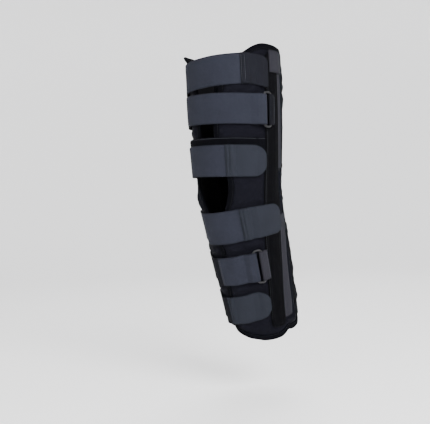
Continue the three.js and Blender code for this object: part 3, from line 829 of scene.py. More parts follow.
def pad_piece(name, table, seed):
    """A stiff side pad: round shoulders, a sewn channel inside its edge, low ribs and the low
    ridge of a stay."""
    front, rear = by_height(table, "front"), by_height(table, "rear")
    height, angle, edge = patch_grid(table, front, rear, PAD_EDGE_ROUND, PAD_CORNER)
    x = angle * per_degree(height)
    across = (angle - mix(front(height), rear(height), 0.5)) * per_degree(height)
    seam = np.exp(-(((edge - PAD_SEAM_INSET) / PAD_SEAM_SPREAD) ** 2))
    ridge = np.exp(-((across / PAD_RIDGE_SPREAD) ** 4))
    free = 1 - pressed(height, angle)
    swell = waves(x, height, seed, PAD_SWELL_LENGTH) * ease(edge, *PAD_SWELL_FADE)
    ribs = np.cos(np.pi * across / PAD_RIB) ** 8 * ease(edge, *PAD_RIB_FADE)
    top = PAD_THICKNESS * rounded(edge, PAD_EDGE_ROUND, 0.15) - PAD_SEAM_DEPTH * seam
    top = top + free * (PAD_RIDGE * ridge + PAD_SWELL * swell) - PAD_RIB_DEPTH * ribs
    outer, inner = point(height, angle, ON_PANEL + top), point(height, angle, ON_PANEL)
    return sheet(name, outer, inner, x, height, edge)


def pad_seam(table, inset, offset):
    """A stitch row all round a pad, inset from its edge, with the pad's round corners."""
    low = height_of(table["height"][0]) + inset
    high = height_of(table["height"][-1]) - inset
    rise = np.linspace(low, high, 200)
    radius = PAD_CORNER - inset
    short = np.clip(radius - np.minimum(rise - low, high - rise), 0, radius)
    away = (inset + radius - np.sqrt(radius**2 - short**2)) / per_degree(rise)
    front = by_height(table, "front")(rise) + away
    rear = by_height(table, "rear")(rise) - away
    height = np.concatenate([rise, rise[::-1], rise[:1]])
    angle = np.concatenate([front, rear[::-1], front[:1]])
    return surface_row(height, angle, offset)


def strip_piece(name, table, front, rear, base, thickness):
    """A flat strip of webbing with round edges, on a base that may follow the angle."""
    height, angle, edge = patch_grid(table, front, rear, thickness / 2, STRIP_CORNER)
    half = thickness / 2
    swell = half * rounded(edge, half)
    level = base(angle) + half
    x = angle * per_degree(height)
    outer, inner = point(height, angle, level + swell), point(height, angle, level - swell)
    return sheet(name, outer, inner, x, height, edge)


# Straps


def bed(height, angle, strap):
    """Offset of what lies under a strap: panels, the lapped flap and the pad on each side."""
    lap = ease(angle, *LAP_IN) * ease(angle, *LAP_OUT) * ease(share_of(height), *LAP_BELOW)
    climbed = strap["climbed"]
    outer_pad = ramp(angle, climbed - PAD_CLIMB, climbed)
    inner_pad = ramp(angle, INNER_PAD["rear"][0] + 2 * PAD_CLIMB, INNER_PAD["rear"][0] + PAD_CLIMB)
    step = PAD_THICKNESS + LAYER_GAP
    return PANEL_THICKNESS + FLAP_LIFT * lap + step * (outer_pad + inner_pad)


def bowed(strap, angle):
    """How far a strap that spans the gap in front stands off its bed."""
    return strap["bow"] * ease(angle, *BOW_IN) * ease(angle, *BOW_OUT)


def strap_scale(strap):
    """Metres round the limb for each degree, at a strap."""
    return per_degree(height_of(strap["height"]))


def stretch(strap, start, stop, level, raise_by=0.0, step=STRAP_STEP):
    """Angles from start to stop and the offset at each: the bed, the bow and a level above them."""
    angle = np.linspace(start, stop, max(3, int(abs(stop - start) / step) + 1))
    middle = strap_height(strap, angle) + raise_by
    return angle, bed(middle, angle, strap) + LAYER_GAP + bowed(strap, angle) + level(angle)


def smoothed(offset, passes=3):
    """The offsets with their kinks rounded by a running mean, ends kept."""
    for _ in range(passes):
        middle = (offset[:-2] + offset[1:-1] * 2 + offset[2:]) / 4
        offset = np.concatenate([offset[:1], middle, offset[-1:]])
    return offset


def ribbon_places():
    """Where a ribbon's points lie across it, as shares of its width from its middle."""
    return fine_steps(STRAP_WIDTH, WEBBING_STEP, WEBBING_EDGE) / STRAP_WIDTH - 0.5


def ribbon(
    name, strap, angle, offset, thickness, width=None, raise_by=0.0, seed=0, seams=(),
    rippled=STRAP_RIPPLE,
):
    """Webbing along a path in the plane of angle and offset. Its section is a flat oval: half the
    thickness times the round shoulder, pushed to each side of the path along its normal. Its long
    edges ripple a little, and seams press a groove across it."""
    scale = strap_scale(strap)
    width = np.full(len(angle), STRAP_WIDTH) if width is None else width
    flat = np.stack([angle * scale, offset], axis=-1)
    tangent = unit(np.gradient(flat, axis=0))
    run = path_reach(flat)
    across = width[:, None] * ribbon_places()[None]
    side = width[:, None] / 2 - np.abs(across)
    end = np.minimum(run, run[-1] - run)[:, None]
    edge = np.minimum(side, end)
    half = thickness / 2 * rounded(edge, thickness * WEBBING_ROUND, 0.2)
    middle = strap_height(strap, angle)[:, None] + raise_by
    ripple = 0.4 + waves(run[:, None], across, seed, RIPPLE_LENGTH)
    ripple = rippled * ripple * ease(side, RIPPLE_REACH, 0.0)
    groove = sum(np.exp(-(((angle - seam) * scale / SEAM_SPREAD) ** 2)) for seam in seams)
    groove = SEAM_GROOVE * np.broadcast_to(groove, angle.shape)[:, None]

    def face(sign):
        away = sign * half + ripple - groove * (sign > 0)
        at = angle[:, None] - tangent[:, 1:] * away / scale
        height = middle + across
        sway = bed(height, at, strap) - bed(middle + 0 * across, at, strap)
        return point(height, at, offset[:, None] + tangent[:, :1] * away + sway)

    return sheet(name, face(1), face(-1), run[:, None], across, edge)


def under_band(name):
    """How much higher a strap lies that has the band under it."""
    return BAND_THICKNESS + LAYER_GAP if name == BAND["under"] else 0.0


def turned_back(strap, foot):
    """The end of a strap that goes over the ring's near bar and comes down on itself."""
    scale = strap_scale(strap)
    round_bar = RING_WIRE_RADIUS + LAYER_GAP + STRAP_THICKNESS / 2
    a = np.linspace(0, np.pi, 18)[1:-1]
    turn_angle = strap["bar"] + round_bar * np.sin(a) / scale
    turn_offset = foot + round_bar * (1 - np.cos(a))
    settled = STRAP_THICKNESS * 1.5 + LAYER_GAP
    lifted = 2 * round_bar + STRAP_THICKNESS / 2

    def level(angle):
        return mix(settled, lifted, ease(angle, strap["bar"] - TURN_SETTLE, strap["bar"]))

    back_angle, back_offset = stretch(strap, strap["bar"], strap["end"], level)
    return np.concatenate([turn_angle, back_angle]), np.concatenate([turn_offset, back_offset])


def strap_piece(name, strap, seed):
    """A strap from the inner pad to its tab, or to its ring and back."""
    middle = under_band(name) + STRAP_THICKNESS / 2
    stop = strap.get("bar", strap.get("seam", 0) + SEAM_LAP)
    angle, offset = stretch(strap, STRAP_START, stop, lambda a: middle)
    offset = smoothed(offset, 10)
    if "bar" not in strap:
        return ribbon(f"{name}_webbing", strap, angle, offset, STRAP_THICKNESS, seed=seed)
    run_in = len(angle)
    more_angle, more_offset = turned_back(strap, offset[-1])
    angle, offset = np.concatenate([angle, more_angle]), np.concatenate([offset, more_offset])
    made = ribbon(f"{name}_webbing", strap, angle, offset, STRAP_THICKNESS, seed=seed)
    two_faced(made, run_in)
    return made


def two_faced(piece, run_in):
    """Gives a strap that turns back its black outer side: the upper faces before the turn."""
    piece.data.materials.append(LOOP)
    piece.data.materials.append(DARK_WEBBING)
    across = len(ribbon_places()) - 1
    dark = np.arange(len(piece.data.polygons)) < (run_in - TURN_STATIONS) * across
    piece.data.polygons.foreach_set("material_index", dark.astype(np.int32))


def tab_piece(name, strap, seed):
    """A hook tab: laps over the strap's end, drops to its level and ends in round corners."""
    scale = strap_scale(strap)
    drop = strap["seam"] + SEAM_LAP + SEAM_DROP / 4
    lap = STRAP_THICKNESS + LAYER_GAP

    def level(angle):
        settled = ease(angle, strap["seam"] + SEAM_LAP + SEAM_DROP, drop)
        return under_band(name) + TAB_THICKNESS / 2 + lap * settled

    corner = strap["corner"]
    body_end = strap["tip"] - corner / scale
    angle, _ = stretch(strap, strap["seam"] - SEAM_LAP, body_end, level, step=TAB_STEP)
    a = np.linspace(0, np.pi / 2, 16)[1:]
    angle = np.concatenate([angle, body_end + corner * np.sin(a) / scale])
    width = STRAP_WIDTH - 2 * corner * (1 - np.sqrt(1 - ramp(angle, body_end, strap["tip"]) ** 2))
    middle = strap_height(strap, angle)
    offset = bed(middle, angle, strap) + LAYER_GAP + bowed(strap, angle) + level(angle)
    seams = [strap["seam"] + away for away in SEAM_ROWS]
    shape = dict(width=width, seed=seed, seams=seams)
    return ribbon(f"{name}_tab_webbing", strap, angle, offset, TAB_THICKNESS, **shape)


def cross_rows(strap, angles, level):
    """Rows of stitches across a strap, on a surface at a level above its bed."""
    across = np.linspace(-0.5, 0.5, 40) * (STRAP_WIDTH - 2 * CROSS_ROW_INSET)
    rows = []
    for angle in angles:
        height = strap_height(strap, angle) + across
        offset = bed(height, angle, strap) + LAYER_GAP + bowed(strap, angle) + level
        rows.append(surface_row(height, angle, offset))
    return rows


def seam_rows(name, strap):
    """The rows that sew a tab to its strap."""
    level = under_band(name) + STRAP_THICKNESS + LAYER_GAP + TAB_THICKNESS
    return cross_rows(strap, strap["seam"] + np.array(SEAM_ROWS), level - SEAM_ROW_SINK)


def anchor_rows(name, strap):
    """The rows that sew a strap to the inner pad."""
    level = under_band(name) + STRAP_THICKNESS
    return cross_rows(strap, STRAP_START + np.array(ANCHOR_ROWS), level)


def hem_rows(strap):
    """The rows at the end of a strap that is turned back on itself."""
    level = 2 * STRAP_THICKNESS + LAYER_GAP + STITCH_STAND
    return cross_rows(strap, strap["end"] + np.array(HEM_ROWS), level)


def far_bar(strap):
    """The angle of a ring's far bar."""
    return strap["bar"] + (RING_SLOT + 2 * RING_WIRE_RADIUS) / strap_scale(strap)


def loop_rows(strap):
    """The rows that sew a ring's loop to the pad."""
    away = (LOOP_REACH - np.array(LOOP_ROWS)) / strap_scale(strap)
    return cross_rows(strap, far_bar(strap) + away, 2 * LOOP_THICKNESS + LAYER_GAP + STITCH_STAND)


def band_rows(strap):
    """The row along the top edge of the band."""
    angle = np.linspace(STRAP_START + 1, BAND["end"] - 1, 220)
    height = strap_height(strap, angle) + BAND["above"] + STRAP_WIDTH / 2 - ROW_INSET
    level = LAYER_GAP + bowed(strap, angle) + BAND_THICKNESS + 2 * STITCH_STAND
    return [surface_row(height, angle, bed(height, angle, strap) + level)]


def band_piece(strap):
    """The flat black tape that lies under the upper knee strap and shows above it."""
    angle, offset = stretch(
        strap, STRAP_START, BAND["end"], lambda a: BAND_THICKNESS / 2, raise_by=BAND["above"]
    )
    offset = smoothed(offset, 10)
    shape = dict(raise_by=BAND["above"], rippled=0.0)
    return ribbon("knee_band_tape", strap, angle, offset, BAND_THICKNESS, **shape)


def ring_offset(strap):
    """How far out the middle of a ring's wire lies."""
    bar = strap["bar"]
    under = bed(strap_height(strap, bar), bar, strap)
    return under + 2 * LAYER_GAP + STRAP_THICKNESS + RING_WIRE_RADIUS


def ring_piece(name, strap):
    """A rectangular ring: a round wire carried round a rectangle with round corners."""
    scale = strap_scale(strap)
    half_height = STRAP_WIDTH / 2 + RING_SIDE_CLEARANCE + RING_WIRE_RADIUS
    half_width = RING_SLOT / 2 + RING_WIRE_RADIUS
    corners = np.array([[1, 1], [-1, 1], [-1, -1], [1, -1]])
    turn = (np.arange(4)[:, None] + np.linspace(0, 1, 9)[None]) * np.pi / 2
    reach = np.stack([np.cos(turn), np.sin(turn)], axis=-1).reshape(-1, 2)
    centre = corners * [half_width - RING_CORNER_RADIUS, half_height - RING_CORNER_RADIUS]
    centre = np.repeat(centre, 9, axis=0)
    a = np.arange(14) / 14 * 2 * np.pi
    out = RING_CORNER_RADIUS + RING_WIRE_RADIUS * np.cos(a)
    spot_x = centre[:, None, 0] + reach[:, None, 0] * out
    spot_y = centre[:, None, 1] + reach[:, None, 1] * out
    middle = strap["bar"] + (RING_SLOT / 2 + RING_WIRE_RADIUS) / scale
    angle = middle + spot_x / scale
    offset = ring_offset(strap) + RING_WIRE_RADIUS * np.sin(a)
    rings = point(strap_height(strap, angle) + spot_y, angle, offset)
    return tube(f"{name}_ring_wire", rings, spot_x, spot_y, RING_WIRE_RADIUS)


def ring_loop_piece(name, strap):
    """The webbing that goes round the ring's far bar, with its two legs sewn to the pad."""
    scale = strap_scale(strap)
    bar = far_bar(strap)
    end = bar + LOOP_REACH / scale
    round_bar = RING_WIRE_RADIUS + LAYER_GAP + LOOP_THICKNESS / 2
    level = ring_offset(strap)
    lowest = bed(strap_height(strap, end), end, strap) + LAYER_GAP + LOOP_THICKNESS / 2
    t = np.linspace(0, 1, 12)
    climb = mix(lowest + LOOP_THICKNESS + LAYER_GAP, level + round_bar, ease(t, 0.1, 0.95))
    top_leg = end + (bar - end) * t, climb
    a = np.linspace(0, np.pi, 14)[1:-1]
    bend = bar - round_bar * np.sin(a) / scale, level + round_bar * np.cos(a)
    low_leg = bar + (end - bar) * t, mix(level - round_bar, lowest, ease(t, 0.0, 0.5))
    angle, offset = (np.concatenate(parts) for parts in zip(top_leg, bend, low_leg))
    piece = f"{name}_ring_loop_webbing"
    return ribbon(piece, strap, angle, offset, LOOP_THICKNESS, seed=RING_LOOP_SEED)


# Materials


class Nodes:
    """A node tree with short ways to add nodes and link them."""

    def __init__(self, tree):
        self.tree = tree

    def add(self, kind, settings=None, **inputs):
        node = self.tree.nodes.new(kind)
        for key, value in (settings or {}).items():
            setattr(node, key, value)
        return self.fill(node, **inputs)

    def fill(self, node, **inputs):
        """Feeds a node's inputs by their names, with underscores for spaces."""
        for key, value in inputs.items():
            self.feed(node.inputs[key.replace("_", " ")], value)
        return node

    def group(self, tree, **inputs):
        return self.add("ShaderNodeGroup", {"node_tree": tree}, **inputs).outputs

    def bump(self, strength, distance, height):
        inputs = {"Strength": strength, "Distance": distance, "Height": height}
        return self.add("ShaderNodeBump", **inputs).outputs["Normal"]

    def feed(self, socket, value):
        if isinstance(value, bpy.types.NodeSocket):
            self.tree.links.new(value, socket)
        else:
            socket.default_value = value

    def math(self, operation, *values):
        node = self.tree.nodes.new("ShaderNodeMath")
        node.operation = operation
        for socket, value in zip(node.inputs, values):
            self.feed(socket, value)
        return node.outputs[0]

    def plus(self, a, b):
        return self.math("ADD", a, b)

    def minus(self, a, b):
        return self.math("SUBTRACT", a, b)

    def times(self, a, b):
        return self.math("MULTIPLY", a, b)

    def noise(self, place, scale, detail, roughness=0.5):
        inputs = {"Vector": place, "Scale": scale, "Detail": detail, "Roughness": roughness}
        return self.add("ShaderNodeTexNoise", **inputs).outputs["Fac"]

    def spread(self, value, low, high, out_low, out_high):
        """The value with low to high carried to out_low to out_high."""
        inputs = {"From_Min": low, "From_Max": high, "To_Min": out_low, "To_Max": out_high}
        return self.add("ShaderNodeMapRange", Value=value, **inputs).outputs["Result"]

    def blend(self, factor, a, b):
        node = self.add("ShaderNodeMix", {"data_type": "RGBA"})
        for key, value in (("Factor_Float", factor), ("A_Color", a), ("B_Color", b)):
            self.feed(next(s for s in node.inputs if s.identifier == key), value)
        return next(s for s in node.outputs if s.identifier == "Result_Color")


def shader_group(name, inputs, outputs):
    """An empty shader group with named sockets. Returns its nodes, its input and its output."""
    tree = bpy.data.node_groups.new(name, "ShaderNodeTree")
    for socket, kind, value in inputs:
        made = tree.interface.new_socket(socket, in_out="INPUT", socket_type=f"NodeSocket{kind}")
        if value is not None:
            made.default_value = value
    for socket, kind in outputs:
        tree.interface.new_socket(socket, in_out="OUTPUT", socket_type=f"NodeSocket{kind}")
    nodes = Nodes(tree)
    return nodes, tree.nodes.new("NodeGroupInput").outputs, tree.nodes.new("NodeGroupOutput").inputs


def weave_group():
    """Plain weave: two sets of rounded ribs over UV, each showing where the other dips."""
    nodes, given, out = shader_group(
        "Plain weave",
        [
            ("UV", "Vector", None),
            ("Pitch along", "Float", 0.0011),
            ("Pitch across", "Float", 0.0011),
        ],
        [("Height", "Float"), ("Thread", "Float")],
    )
    parts = nodes.add("ShaderNodeSeparateXYZ", Vector=given["UV"])
    along = nodes.math("DIVIDE", parts.outputs["X"], given["Pitch along"])
    across = nodes.math("DIVIDE", parts.outputs["Y"], given["Pitch across"])
    ribs, cells = [], []
    for place in (along, across):
        wave = nodes.math("SINE", nodes.times(place, np.pi))
        ribs.append(nodes.math("ABSOLUTE", wave))
        cells.append(nodes.math("FLOOR", place))
    parity = nodes.math("FLOORED_MODULO", nodes.plus(*cells), 2.0)
    warp = nodes.times(ribs[0], parity)
    weft = nodes.times(ribs[1], nodes.minus(1.0, parity))
    height = nodes.plus(warp, weft)
    nodes.feed(out["Height"], height)
    nodes.feed(out["Thread"], parity)
    return nodes.tree


def pile_group():
    """Brushed loops: fine noise broken up by a coarser one, over object coordinates."""
    nodes, given, out = shader_group(
        "Brushed pile",
        [
            ("Position", "Vector", None),
            ("Loops per metre", "Float", 1400.0),
            ("Clumping", "Float", 0.5),
        ],
        [("Height", "Float"), ("Clump", "Float")],
    )
    place, loops = given["Position"], given["Loops per metre"]
    fine = nodes.noise(place, loops, 3.0, 0.65)
    cells = nodes.add("ShaderNodeTexVoronoi", Vector=place, Scale=nodes.times(loops, 0.55))
    coarse = nodes.noise(place, nodes.times(loops, 0.12), 4.0, 0.6)
    gaps = nodes.times(cells.outputs["Distance"], 0.5)
    tufts = nodes.minus(fine, gaps)
    clump = nodes.times(nodes.minus(coarse, 0.5), given["Clumping"])
    nodes.feed(out["Height"], nodes.plus(tufts, clump))
    nodes.feed(out["Clump"], coarse)
    return nodes.tree


def wear_and_painted_light_group():
    """Wear and painted light: slow patches of darker and lighter tone, lint, a line along the edges
    that is darker for a selvedge and lighter for a painted highlight, and painted shade from the
    relief, darker in its dips and lighter on its tops.
    """
    nodes, given, out = shader_group(
        "Wear and painted light",
        [
            ("Position", "Vector", None),
            ("Colour", "Color", (0.05, 0.05, 0.05, 1)),
            ("Relief", "Float", 0.5),
            ("Contrast", "Float", 0.6),
            ("Patches", "Float", 0.2),
            ("Lint", "Float", 0.05),
            ("Edge tint", "Float", 0.8),
            ("Edge width", "Float", 0.0015),
            ("Roughness", "Float", 0.88),
        ],
        [("Colour", "Color"), ("Roughness", "Float")],
    )
    slow = nodes.noise(given["Position"], 28.0, 4.0, 0.55)
    specks = nodes.spread(nodes.noise(given["Position"], 2300.0, 2.0, 0.7), 0.66, 0.74, 0.0, 1.0)
    swing = nodes.times(nodes.minus(slow, 0.5), given["Patches"])
    # Painted shade and highlight: the colour is darker in the low spots of the relief, the dips of
    # the weave and the pile, and lighter on its tops.
    depth = nodes.times(nodes.minus(given["Relief"], 0.5), given["Contrast"])
    gain = nodes.plus(nodes.plus(1.0, nodes.times(swing, 2.0)), depth)
    # A line along the edges: darker for a webbing's selvedge, lighter for the tape's painted
    # highlight.
    edge = nodes.add("ShaderNodeAttribute", {"attribute_name": "edge_distance"})
    near = nodes.spread(edge.outputs["Fac"], 0.0, given["Edge width"], 1.0, 0.0)
    tint = nodes.minus(given["Edge tint"], 1.0)
    edge_gain = nodes.plus(1.0, nodes.times(near, tint))
    total = nodes.math("MAXIMUM", nodes.times(gain, edge_gain), 0.05)
    scaled = nodes.add("ShaderNodeVectorMath", {"operation": "SCALE"})
    nodes.feed(scaled.inputs[0], given["Colour"])
    nodes.feed(scaled.inputs["Scale"], total)
    dust = nodes.times(specks, given["Lint"])
    nodes.feed(out["Colour"], nodes.blend(dust, scaled.outputs[0], (0.35, 0.35, 0.36, 1)))
    polish = nodes.times(swing, 0.4)
    nodes.feed(out["Roughness"], nodes.plus(given["Roughness"], polish))
    return nodes.tree


WEAVE, PILE, WEAR_AND_PAINTED_LIGHT = weave_group(), pile_group(), wear_and_painted_light_group()


def plain_material(name):
    """A new material with its nodes and its shader."""
    material = bpy.data.materials.new(name)
    material.use_nodes = True
    return material, Nodes(material.node_tree), material.node_tree.nodes["Principled BSDF"]


def cloth_material(
    name, colour, relief, bump, bump_distance=0.0004, specular=0.06, sheen=0.0,
    sheen_roughness=0.5, **wear_and_light,
):
    """A cloth: relief gives its height from the tree, the wear and painted light group tints it,
    with painted shade in the relief's dips, and a bump lifts it.
    """
    material, nodes, shader = plain_material(name)
    coordinates = nodes.add("ShaderNodeTexCoord").outputs
    height = relief(nodes, coordinates)
    wear_and_light_inputs = {key.capitalize(): value for key, value in wear_and_light.items()}
    place = coordinates["Object"]
    worn_and_lit = nodes.group(WEAR_AND_PAINTED_LIGHT, Position=place, Colour=(*colour, 1), Relief=height, **wear_and_light_inputs)
    nodes.fill(
        shader,
        Base_Color=worn_and_lit["Colour"],
        Roughness=worn_and_lit["Roughness"],
        Normal=nodes.bump(bump, bump_distance, height),
        Sheen_Weight=sheen,
        Sheen_Roughness=sheen_roughness,
        Specular_IOR_Level=specular,
    )
    return material


def woven(pitch_along, pitch_across, fuzz=0.3):
    """Relief of a weave with a little fuzz over it."""
    def relief(nodes, coordinates):
        pitches = {"Pitch_along": pitch_along, "Pitch_across": pitch_across}
        weave = nodes.group(WEAVE, UV=coordinates["UV"], **pitches)["Height"]
        pile = nodes.group(PILE, Position=coordinates["Object"])["Height"]
        return nodes.plus(nodes.times(weave, 1 - fuzz), nodes.times(pile, fuzz))
    return relief


def piled(loops, clumping=0.5):
    """Relief of a brushed pile."""
    def relief(nodes, coordinates):
        inputs = {"Loops_per_metre": loops, "Clumping": clumping}
        return nodes.group(PILE, Position=coordinates["Object"], **inputs)["Height"]
    return relief


def ring_material():
    """Moulded plastic: a fine grain and rubbed patches over a satin grey."""
    material, nodes, shader = plain_material("Ring plastic")
    place = nodes.add("ShaderNodeTexCoord").outputs["Object"]
    grain = nodes.noise(place, 2600.0, 2.0)
    rub = nodes.noise(place, 160.0, 3.0)
    nodes.fill(
        shader,
        Base_Color=nodes.blend(rub, (0.008, 0.008, 0.009, 1), (0.014, 0.014, 0.016, 1)),
        Roughness=nodes.spread(rub, 0.3, 0.7, 0.34, 0.50),
        Specular_IOR_Level=0.25,
        Normal=nodes.bump(0.15, 0.0001, grain),
    )
    return material


LAMINATE = cloth_material(
    "Laminate knit", (0.0034, 0.0035, 0.0058), woven(0.0010, 0.0007, 0.25), 0.5,
    specular=0.04, roughness=0.80, patches=0.3, lint=0.02,
)
LINING = cloth_material(
    "Brushed lining", (0.0044, 0.0044, 0.0057), piled(1300.0, 0.8), 0.5,
    sheen=0.008, patches=0.3, edge_tint=1.0,
)
# Binding tape: an edge_tint above 1 is a painted highlight, a lighter line along the binding's
# folded edge and along the band's edges.
TAPE = cloth_material(
    "Binding tape", (0.0014, 0.0015, 0.0024), woven(0.0006, 0.0011, 0.2), 0.5, 0.0003,
    specular=0.03, lint=0.03, edge_tint=1.2,
)
VELOUR = cloth_material(
    "Pad velour", (0.0019, 0.0020, 0.0027), piled(1500.0, 1.0), 0.8, 0.0007,
    specular=0.03, sheen=0.003, sheen_roughness=0.6, contrast=0.9, patches=0.5, lint=0.06,
    edge_tint=1.0,
)
LOOP = cloth_material(
    "Loop webbing", (0.0161, 0.0177, 0.0258), piled(1700.0, 0.6), 0.55,
    sheen=0.010, contrast=0.5, patches=0.14, edge_tint=0.62, edge_width=0.0024,
)
HOOK = cloth_material(
    "Hook tab webbing", (0.0133, 0.0150, 0.0205), woven(0.0009, 0.0009, 0.35), 0.6,
    sheen=0.008, contrast=0.55, patches=0.16, edge_tint=0.66, edge_width=0.0022,
)
DARK_HOOK = cloth_material(
    "Dark tab webbing", (0.0065, 0.0069, 0.0098), woven(0.0016, 0.0011, 0.3), 0.7,
    sheen=0.008, contrast=0.7, edge_width=0.0022,
)
DARK_WEBBING = cloth_material(
    "Dark loop webbing", (0.0054, 0.0056, 0.0074), woven(0.0014, 0.0010, 0.2), 0.7,
    specular=0.03, contrast=0.7, edge_width=0.0016,
)
STRIP = cloth_material(
    "Strip webbing", (0.0156, 0.0154, 0.0201), woven(0.0018, 0.0009, 0.2), 0.7,
    sheen=0.008, patches=0.18, edge_tint=0.7, edge_width=0.0016,
)
THREAD, DARK_THREAD = (
    cloth_material(
        name, colour, woven(0.0005, 0.0004, 0.2), 0.3, 0.0001,
        contrast=0.3, patches=0.1, lint=0.0, edge_tint=1.0,
    )
    for name, colour in (
        ("Grey thread", (0.0400, 0.0416, 0.0480)),
        ("Dark thread", (0.0090, 0.0095, 0.0115)),
    )
)
PLASTIC = ring_material()


def dress(piece, material, slot, *nodes, padding=None):
    """Gives a piece its finish and its place on the frame."""
    if not piece.data.materials:
        piece.data.materials.append(material)
    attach(piece, "root")
    if nodes:
        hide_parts(*nodes)
    return piece


def sew(name, rows, thread, slot):
    """The stitches of a piece."""
    dress(stitching(f"{name}_stitches", rows), thread, slot)


# The wrap: panels and bindings

for seed, (side, panel) in enumerate(PANELS.items()):
    name = f"{side}_panel"
    cloth = panel_piece(f"{name}_cloth", panel, 10 * seed + 3)
    dress(cloth, LAMINATE, "padding_laminate", name, padding=0.3)
    edge_name = f"{side}_binding"
    binding = binding_piece(f"{edge_name}_tape", panel, seed + BINDING_SEED)
    dress(binding, TAPE, "binding_tape", edge_name)
    height, angle = spot(panel, *rim_path()(BINDING_WIDTH * BINDING_STITCH))
    rows = []
    for offset, sign in ((PANEL_THICKNESS + BINDING_CLEARANCE, 1), (-BINDING_CLEARANCE, -1)):
        path, out = surface_row(height, angle, panel["lift"](height, angle) + offset)
        rows.append((np.concatenate([path, path[:1]]), sign * np.concatenate([out, out[:1]])))
    sew(edge_name, rows, DARK_THREAD, "binding_tape")

# Pads, strips and the patch

for seed, (name, table) in enumerate((("lateral_pad", OUTER_PAD), ("medial_pad", INNER_PAD))):
    cover = pad_piece(f"{name}_cover", table, seed + PAD_SEED)
    dress(cover, VELOUR, "pad_velour", name, padding=0.4)
    rows = [pad_seam(table, PAD_SEAM_INSET, ON_PANEL + PAD_THICKNESS - PAD_SEAM_SINK)]
    sew(name, rows, DARK_THREAD, "pad_velour")
    rows = [pad_seam(table, PAD_EDGE_STITCH, ON_PANEL + PAD_EDGE_LEVEL * PAD_THICKNESS)]
    sew(f"{name}_edge", rows, THREAD, "pad_velour")


def beside_pad(h):
    """Where a strip starts: just behind the outer pad."""
    return by_height(OUTER_PAD, "rear")(h) + LAYER_GAP / per_degree(h)


def on_panel(angle):
    """The base of what lies straight on a panel."""
    return ON_PANEL + 0 * angle


def strip_seams(table, rear, offset):
    """Two rows of stitches, one along each edge of a strip."""
    low, high = (height_of(table["height"][k]) for k in (0, -1))
    rise = np.linspace(low + 0.002, high - 0.002, 160)
    inset = STRIP_ROW_INSET / per_degree(rise)
    edges = (beside_pad(rise) + inset, rear(rise) - inset)
    return [surface_row(rise, edge, offset) for edge in edges]


for name, table in (("stay_strip_thigh", THIGH_STRIP), ("stay_strip_calf", CALF_STRIP)):
    strip_rear = by_height(table, "rear")
    piece = strip_piece(f"{name}_webbing", table, beside_pad, strip_rear, on_panel, STRIP_THICKNESS)
    dress(piece, STRIP, "strip_webbing", name)
    top = ON_PANEL + STRIP_THICKNESS + 2 * STITCH_STAND
    sew(name, strip_seams(table, strip_rear, top), THREAD, "strip_webbing")


def patch_base(angle):
    """The patch lies on the pad in front and comes down to the strip's level behind it."""
    on_strip = PANEL_THICKNESS + STRIP_THICKNESS + 2 * LAYER_GAP
    on_pad = PANEL_THICKNESS + PAD_THICKNESS + 2 * LAYER_GAP
    return mix(on_strip, on_pad, ease(angle, PATCH["rear"], OUTER_PAD["rear"][-1]))


patch_front, patch_rear = (lambda h, side=side: PATCH[side] + 0 * h for side in ("front", "rear"))
PATCH_TABLE = {"height": (PATCH["bottom"], PATCH["top"])}
piece = strip_piece(
    "top_patch_webbing", PATCH_TABLE, patch_front, patch_rear, patch_base, PATCH_THICKNESS
)
dress(piece, STRIP, "strip_webbing", "top_patch")


def patch_rows(inset=ROW_INSET):
    """A row of stitches all round the patch, inset from its edge."""
    t = np.linspace(0, 1, 30)
    low, high = height_of(PATCH["bottom"]) + inset, height_of(PATCH["top"]) - inset
    front = PATCH["front"] + inset / per_degree(low)
    rear = PATCH["rear"] - inset / per_degree(low)
    height = np.concatenate([mix(low, high, t), high + 0 * t, mix(high, low, t), low + 0 * t])
    angle = np.concatenate([front + 0 * t, mix(front, rear, t), rear + 0 * t, mix(rear, front, t)])
    return [surface_row(height, angle, patch_base(angle) + PATCH_THICKNESS + STITCH_STAND)]


sew("top_patch", patch_rows(), DARK_THREAD, "strip_webbing")

# Straps, tabs, rings and the band

for seed, (name, strap) in enumerate(STRAPS.items()):
    finish = DARK_WEBBING if name == "calf_strap_lower" else LOOP
    dress(strap_piece(name, strap, seed + STRAP_SEED), finish, "strap_webbing", name)
    sew(f"{name}_anchor", anchor_rows(name, strap), DARK_THREAD, "strap_webbing")
    if name == BAND["under"]:
        dress(band_piece(strap), TAPE, "binding_tape", "knee_band")
        sew("knee_band", band_rows(strap), THREAD, "binding_tape")
    if "seam" in strap:
        finish = DARK_HOOK if name == "thigh_strap_upper" else HOOK
        dress(tab_piece(name, strap, seed + TAB_SEED), finish, "strap_webbing", f"{name}_tab")
        thread = THREAD if finish is DARK_HOOK else DARK_THREAD
        sew(f"{name}_seam", seam_rows(name, strap), thread, "strap_webbing")
    else:
        dress(ring_piece(name, strap), PLASTIC, "ring_plastic", f"{name}_ring")
        finish = DARK_WEBBING if name == "thigh_strap_lower" else STRIP
        dress(ring_loop_piece(name, strap), finish, "strip_webbing", f"{name}_ring_loop")
        sew(f"{name}_hem", hem_rows(strap), THREAD, "strap_webbing")
        sew(f"{name}_loop", loop_rows(strap), THREAD, "strip_webbing")

# The floor, the lights and the camera

VIEW_AZIMUTH = 39
VIEW_ROLL = 2.4
CAMERA_DISTANCE = 1.150
PHOTO_WIDTH, PHOTO_HEIGHT = 430, 424
FOCAL_PIXELS = 678.0
KNEE_PIXEL = (241, 195)
SENSOR = 0.036
FLOOR_LEVEL = -0.34
FLOOR_REACH = 4.0
COVE_RADIUS = 1.6
WALL_HEIGHT = 2.6
FLOOR_STATIONS = 97


